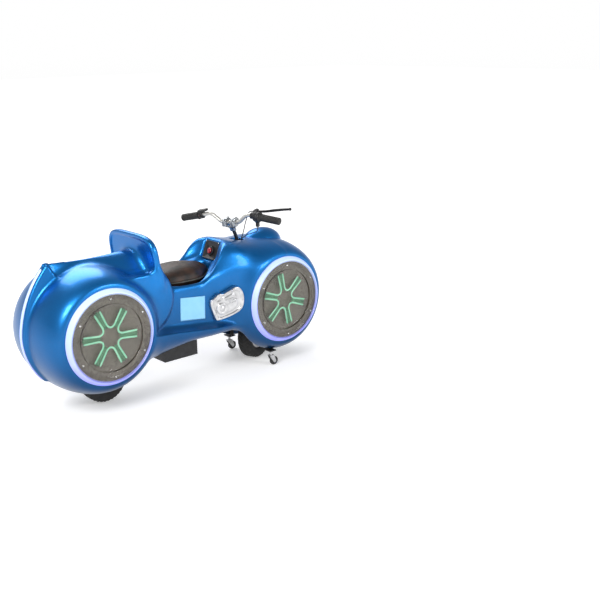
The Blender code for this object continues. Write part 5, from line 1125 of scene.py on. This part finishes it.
# Brake lever: a black die-cast blade on the perch's pivot, swept out along the grip to a ball end.
LEVER_ROUTE = np.array([(0.0, 0.0, 0.0), (0.002, 0.000, 0.004), (0.005, 0.000, 0.018), (0.011, 0.004, 0.048),
                        (0.015, 0.018, 0.100), (0.013, 0.034, 0.155), (0.007, 0.050, 0.212)])
LEVER_THICK = (0.0056, 0.0050, 0.0046, 0.0042)
LEVER_TALL = (0.0056, 0.0072, 0.0082, 0.0066)
LEVER_SHARES = (0.0, 0.15, 0.5, 1.0)
LEVER_BALL = 0.0086
LEVER_ROOT = ((0.0, -0.0058), (0.0082, -0.0058), (0.0088, -0.0050), (0.0088, 0.0050), (0.0082, 0.0058), (0.0, 0.0058))
lever_coat = grained("black_lever_coat", (0.012, 0.012, 0.013), (0.024, 0.024, 0.025), 35.0, 0.34, 0.3, 0.1, 800.0)
lever_share = np.linspace(0.0, 1.0, 70)
lever_blade = swept_grid(eased_path(LEVER_ROUTE, 70), np.interp(lever_share, LEVER_SHARES, LEVER_THICK), 20,
                         np.interp(lever_share, LEVER_SHARES, LEVER_TALL), lean=(0.0, 1.0, 0.0))
ball_tilt = np.linspace(0.0, math.pi, 19)
ball_grid = turned_grid(np.column_stack([LEVER_BALL * np.sin(ball_tilt), LEVER_BALL * np.cos(ball_tilt)]), 24)
root_grid = turned_grid(LEVER_ROOT, 32)[..., [0, 2, 1]]
lever_grids = [lever_blade, ball_grid + LEVER_ROUTE[-1], root_grid]
sheet_piece("lever_blade", [on_bar(grid + LEVER_PIVOT, -1) for grid in lever_grids], lever_coat, "lever",
            ["brake_lever"])


# Switch pod: a plastic clamp on the left of the bar with a flat arm over it and one red push button.
SWITCH_R = 0.0220
SWITCH_ENDS = (0.0417, 0.0717)
SWITCH_ARM_PLACE = (-0.0240, 0.0387)
HORN_PROFILE = ((0.0, 0.0262), (0.0035, 0.0259), (0.0058, 0.0248), (0.0068, 0.0232), (0.0068, 0.0180), (0.0, 0.0180))
HORN_Z = 0.0567


def switch_field(x, y, z):
    """A rounded clamp with a flat bar over it, a bump at each end of the bar and the button's collar."""
    middle = sum(SWITCH_ENDS) / 2
    barrel = rounded_box(np.hypot(x, y), z - middle, SWITCH_R, 0.0150, 0.0040)
    arm = rounded_box(rounded_box(x, z - SWITCH_ARM_PLACE[1], 0.0150, 0.0310, 0.0060), y - SWITCH_ARM_PLACE[0],
                      0.0, 0.0070, 0.0)
    arm = np.maximum(rounded_box(x, z - SWITCH_ARM_PLACE[1], 0.0150, 0.0310, 0.0060),
                     np.abs(y - SWITCH_ARM_PLACE[0]) - 0.0058)
    bump = np.hypot(np.hypot(x, np.abs(z - SWITCH_ARM_PLACE[1]) - 0.0215), (y + 0.0270) * 1.3) - 0.0075
    bore = np.maximum(np.hypot(y, z - HORN_Z) - 0.0080, x + 0.0120)
    return carve(melt(melt(barrel, arm, 0.006), bump, 0.003), bore, 0.0008)


switch_points, switch_quads = skin_over(switch_field, (-0.028, -0.040, 0.002), (0.028, 0.028, 0.078), MOULD_STEP)
mesh_piece("switch_case", on_bar(switch_points, 1), switch_quads, black_plastic, "steering",
           ["switch_pod"])
horn_grid = turned_grid(HORN_PROFILE, 32)
horn_grid = np.stack([-horn_grid[..., 2], horn_grid[..., 1], HORN_Z + horn_grid[..., 0]], -1)
horn_plastic = grained("dark_horn_plastic", (0.016, 0.004, 0.004), (0.030, 0.007, 0.007), 60.0, 0.4, coat=0.3)
sheet_piece("horn_push", on_bar(horn_grid, 1), horn_plastic, "horn", ["horn_button"])


# Cables: two black sheathed control cables from the right of the bar, down past the stem and into the
# column's top.
CABLE_R = 0.0026
CABLE_POINTS = 110


def off_bar(points):
    """Steering-frame places of points given in the right grip's frame."""
    c, s = math.cos(GRIP_TURN), math.sin(GRIP_TURN)
    return [(BAR_X + x, -0.140 + y * c - z * s, 0.781 + y * s + z * c) for x, y, z in points]


CABLE_ROUTES = {
    "throttle_cable": off_bar([(0.0, -0.0586, 0.0537), (0.0, -0.0700, 0.0537)]) + [
        (0.0, -0.120, 0.664), (0.012, -0.060, 0.640), (0.004, -0.030, 0.618), (0.0, -0.020, 0.596),
        (0.0, -0.0175, 0.572), (0.0, -0.0175, 0.518)],
    "brake_cable": off_bar([(0.029, 0.0125, 0.0118), (0.029, 0.0125, -0.0006)]) + [
        (0.020, -0.075, 0.730), (0.028, -0.040, 0.665), (0.024, -0.014, 0.610), (0.0175, 0.0, 0.572),
        (0.0175, 0.0, 0.518)]}
cable_sheath = grained("cable_sheath", (0.008, 0.008, 0.009), (0.016, 0.016, 0.017), 80.0, 0.40, bump=0.1)
for node, route in CABLE_ROUTES.items():
    line = eased_path(route, CABLE_POINTS)
    cable = sheet_piece(f"{node}_sheath", steered(swept_grid(line, CABLE_R, 12, lean=(0.35, 0.93, 0.12))),
                        cable_sheath, "steering", [node])


# Wheels: treaded rubber tyres on cast alloy hubs; the front hub holds the motor and steers with the
# fork, the rear one runs on a fixed axle.
TYRE_R = 0.1270
TYRE_BEAD_R = 0.0700
TYRE_HALF = 0.0390
TYRE_SHOULDER = 0.0160
TREAD_DEPTH = 0.0040
TREAD_BLOCKS = 34
WHEEL_STEPS = 272
HUB_HALF_PROFILES = {
    "rear": ((0.0083, 0.0340), (0.0190, 0.0340), (0.0210, 0.0325), (0.0220, 0.0290), (0.0225, 0.0115),
             (0.0260, 0.0080), (0.0540, 0.0080), (0.0585, 0.0105), (0.0605, 0.0240), (0.0625, 0.0272),
             (0.0650, 0.0281), (0.0697, 0.0281)),
    "front": ((0.0083, 0.0340), (0.0170, 0.0340), (0.0190, 0.0325), (0.0200, 0.0265), (0.0225, 0.0243),
              (0.0540, 0.0240), (0.0575, 0.0225), (0.0595, 0.0225), (0.0625, 0.0272), (0.0650, 0.0281),
              (0.0697, 0.0281))}
HUB_BOLT = ((0.0, 0.0034), (0.0036, 0.0032), (0.0046, 0.0020), (0.0046, -0.002), (0.0, -0.002))


def tyre_section():
    """Closed section of a tyre: bead, bulged wall, round shoulder and a flat crown, as radius and side."""
    wall = np.linspace(0.0, 1.0, 9)[:-1]
    corner = np.linspace(0.0, math.pi / 2, 9)
    side = [(TYRE_BEAD_R + 0.0005 + (TYRE_R - TYRE_SHOULDER - TYRE_BEAD_R) * t,
             TYRE_HALF - 0.0070 * (1 - math.sin(math.pi / 2 * min(1.0, 1.6 * t)))) for t in wall]
    side += [(TYRE_R - TYRE_SHOULDER + TYRE_SHOULDER * math.sin(a), TYRE_HALF - TYRE_SHOULDER * (1 - math.cos(a)))
             for a in corner]
    crown = [(TYRE_R, y) for y in np.linspace(TYRE_HALF - TYRE_SHOULDER, 0.0, 12)[1:]]
    half = np.array(side + crown)
    return np.concatenate([half, half[-2::-1] * (1, -1)])


def treaded(section, steps):
    """The section turned about the axle, its crown cut by slanting grooves and one middle groove."""
    turn = np.linspace(0.0, 2.0 * math.pi, steps + 1)[None, :-1]
    radius, side = section[:, :1], section[:, 1:]
    phase = (turn * TREAD_BLOCKS / (2.0 * math.pi) + np.abs(side) / 0.030) % 1.0
    slant = smooth_rise((0.20 - np.abs(phase - 0.5)) / 0.08)
    ring = smooth_rise((0.0042 - np.abs(side)) / 0.0016)
    crown = smooth_rise((radius - TYRE_R + 0.0120) / 0.0080)
    depth = TREAD_DEPTH * np.maximum(slant, ring + 0.0 * turn) * crown
    return np.stack([(radius - depth) * np.cos(turn), side + 0.0 * turn, (radius - depth) * np.sin(turn)], 2)


tyre_rubber = grained("tyre_rubber", (0.008, 0.008, 0.008), (0.020, 0.019, 0.018), 26.0, 0.78, 0.0, 0.25, 500.0)
cast_hub = grained("cast_hub_alloy", (0.34, 0.34, 0.35), (0.50, 0.50, 0.51), 40.0, 0.38, 1.0, 0.15, 260.0)
for label, body, hub_node in (("rear", "rear_wheel", "rear_hub"), ("front", "front_wheel", "front_hub_motor")):
    seat = steered if label == "front" else (lambda grid: grid + np.array([-0.490, 0.0, 0.127]))
    sheet_piece(f"{label}_tread", seat(treaded(tyre_section(), WHEEL_STEPS)), tyre_rubber, body,
                [f"{label}_tyre"], close_rows=True)
    half_hub = np.array(HUB_HALF_PROFILES[label])
    whole_hub = np.concatenate([half_hub, half_hub[::-1] * (1, -1)])
    sheet_piece(f"{label}_hub_casting", seat(turned_grid(whole_hub, 96)[..., [0, 2, 1]]), cast_hub, body,
                [hub_node], close_rows=True)
    bolt_y = float(np.interp(0.045, half_hub[:, 0], half_hub[:, 1]))
    hub_bolts = []
    for step in range(6):
        bolt = turned_grid(HUB_BOLT, 14) + np.array([0.045 * math.cos(step * math.pi / 3),
                                                    0.045 * math.sin(step * math.pi / 3), bolt_y])
        hub_bolts += [bolt[..., [0, 2, 1]], bolt[..., [0, 2, 1]] * (1, -1, 1)]
    sheet_piece(f"{label}_hub_bolts", [seat(bolt) for bolt in hub_bolts], bright_screw, body)


# Caster wheels: small moulded rubber rollers under the nose, in plated forks.
CASTER_HALF = ((0.0043, 0.0088), (0.0105, 0.0088), (0.0120, 0.0074), (0.0180, 0.0074), (0.0195, 0.0088),
               (0.0235, 0.0088), (0.0252, 0.0078), (0.0259, 0.0058), (0.0260, 0.0030))
caster_half = np.array(CASTER_HALF)
caster_whole = np.concatenate([caster_half, caster_half[::-1] * (1, -1)])
for label in ("right", "left"):
    caster_place = np.mean(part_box(f"caster_wheel_{label}"), axis=0) - plane_shift
    sheet_piece(f"caster_roller_{label}", turned_grid(caster_whole, 64)[..., [0, 2, 1]] + caster_place, rubber,
                f"caster_roll_{label}", [f"caster_wheel_{label}"], close_rows=True)


# Rest of the frame: powder-coated steel, plated steel, board and battery cases keep the solids' shapes
# and get their finishes here.
powder_coat = grained("black_powder_coat", (0.010, 0.010, 0.011), (0.020, 0.020, 0.021), 40.0, 0.48, 0.2, 0.25,
                      900.0)
zinc_plate = grained("zinc_plate", (0.42, 0.42, 0.42), (0.60, 0.60, 0.60), 60.0, 0.30, 1.0, 0.06, 500.0)
plywood = grained("plywood", (0.020, 0.014, 0.010), (0.040, 0.028, 0.019), 18.0, 0.75, 0.0, 0.15, 160.0)
battery_case = grained("battery_case", (0.035, 0.035, 0.040), (0.055, 0.055, 0.060), 22.0, 0.5, 0.0, 0.1, 500.0)
FINISHES = {
    "black_painted_steel": powder_coat, "black_plastic": black_plastic, "bright_steel": zinc_plate,
    "polished_alloy": alloy, "black_rubber": rubber, "black_tyre": tyre_rubber, "red_plastic": red_plastic,
    "seat_board": plywood, "battery_case": battery_case, "brown_black_leatherette": leatherette}
for part in frame["record"]["subparts"]:
    finish = FINISHES.get(part["material_slot"])
    if finish:
        node = frame["nodes"][part["node"]]
        node.data.materials.clear()
        node.data.materials.append(finish)
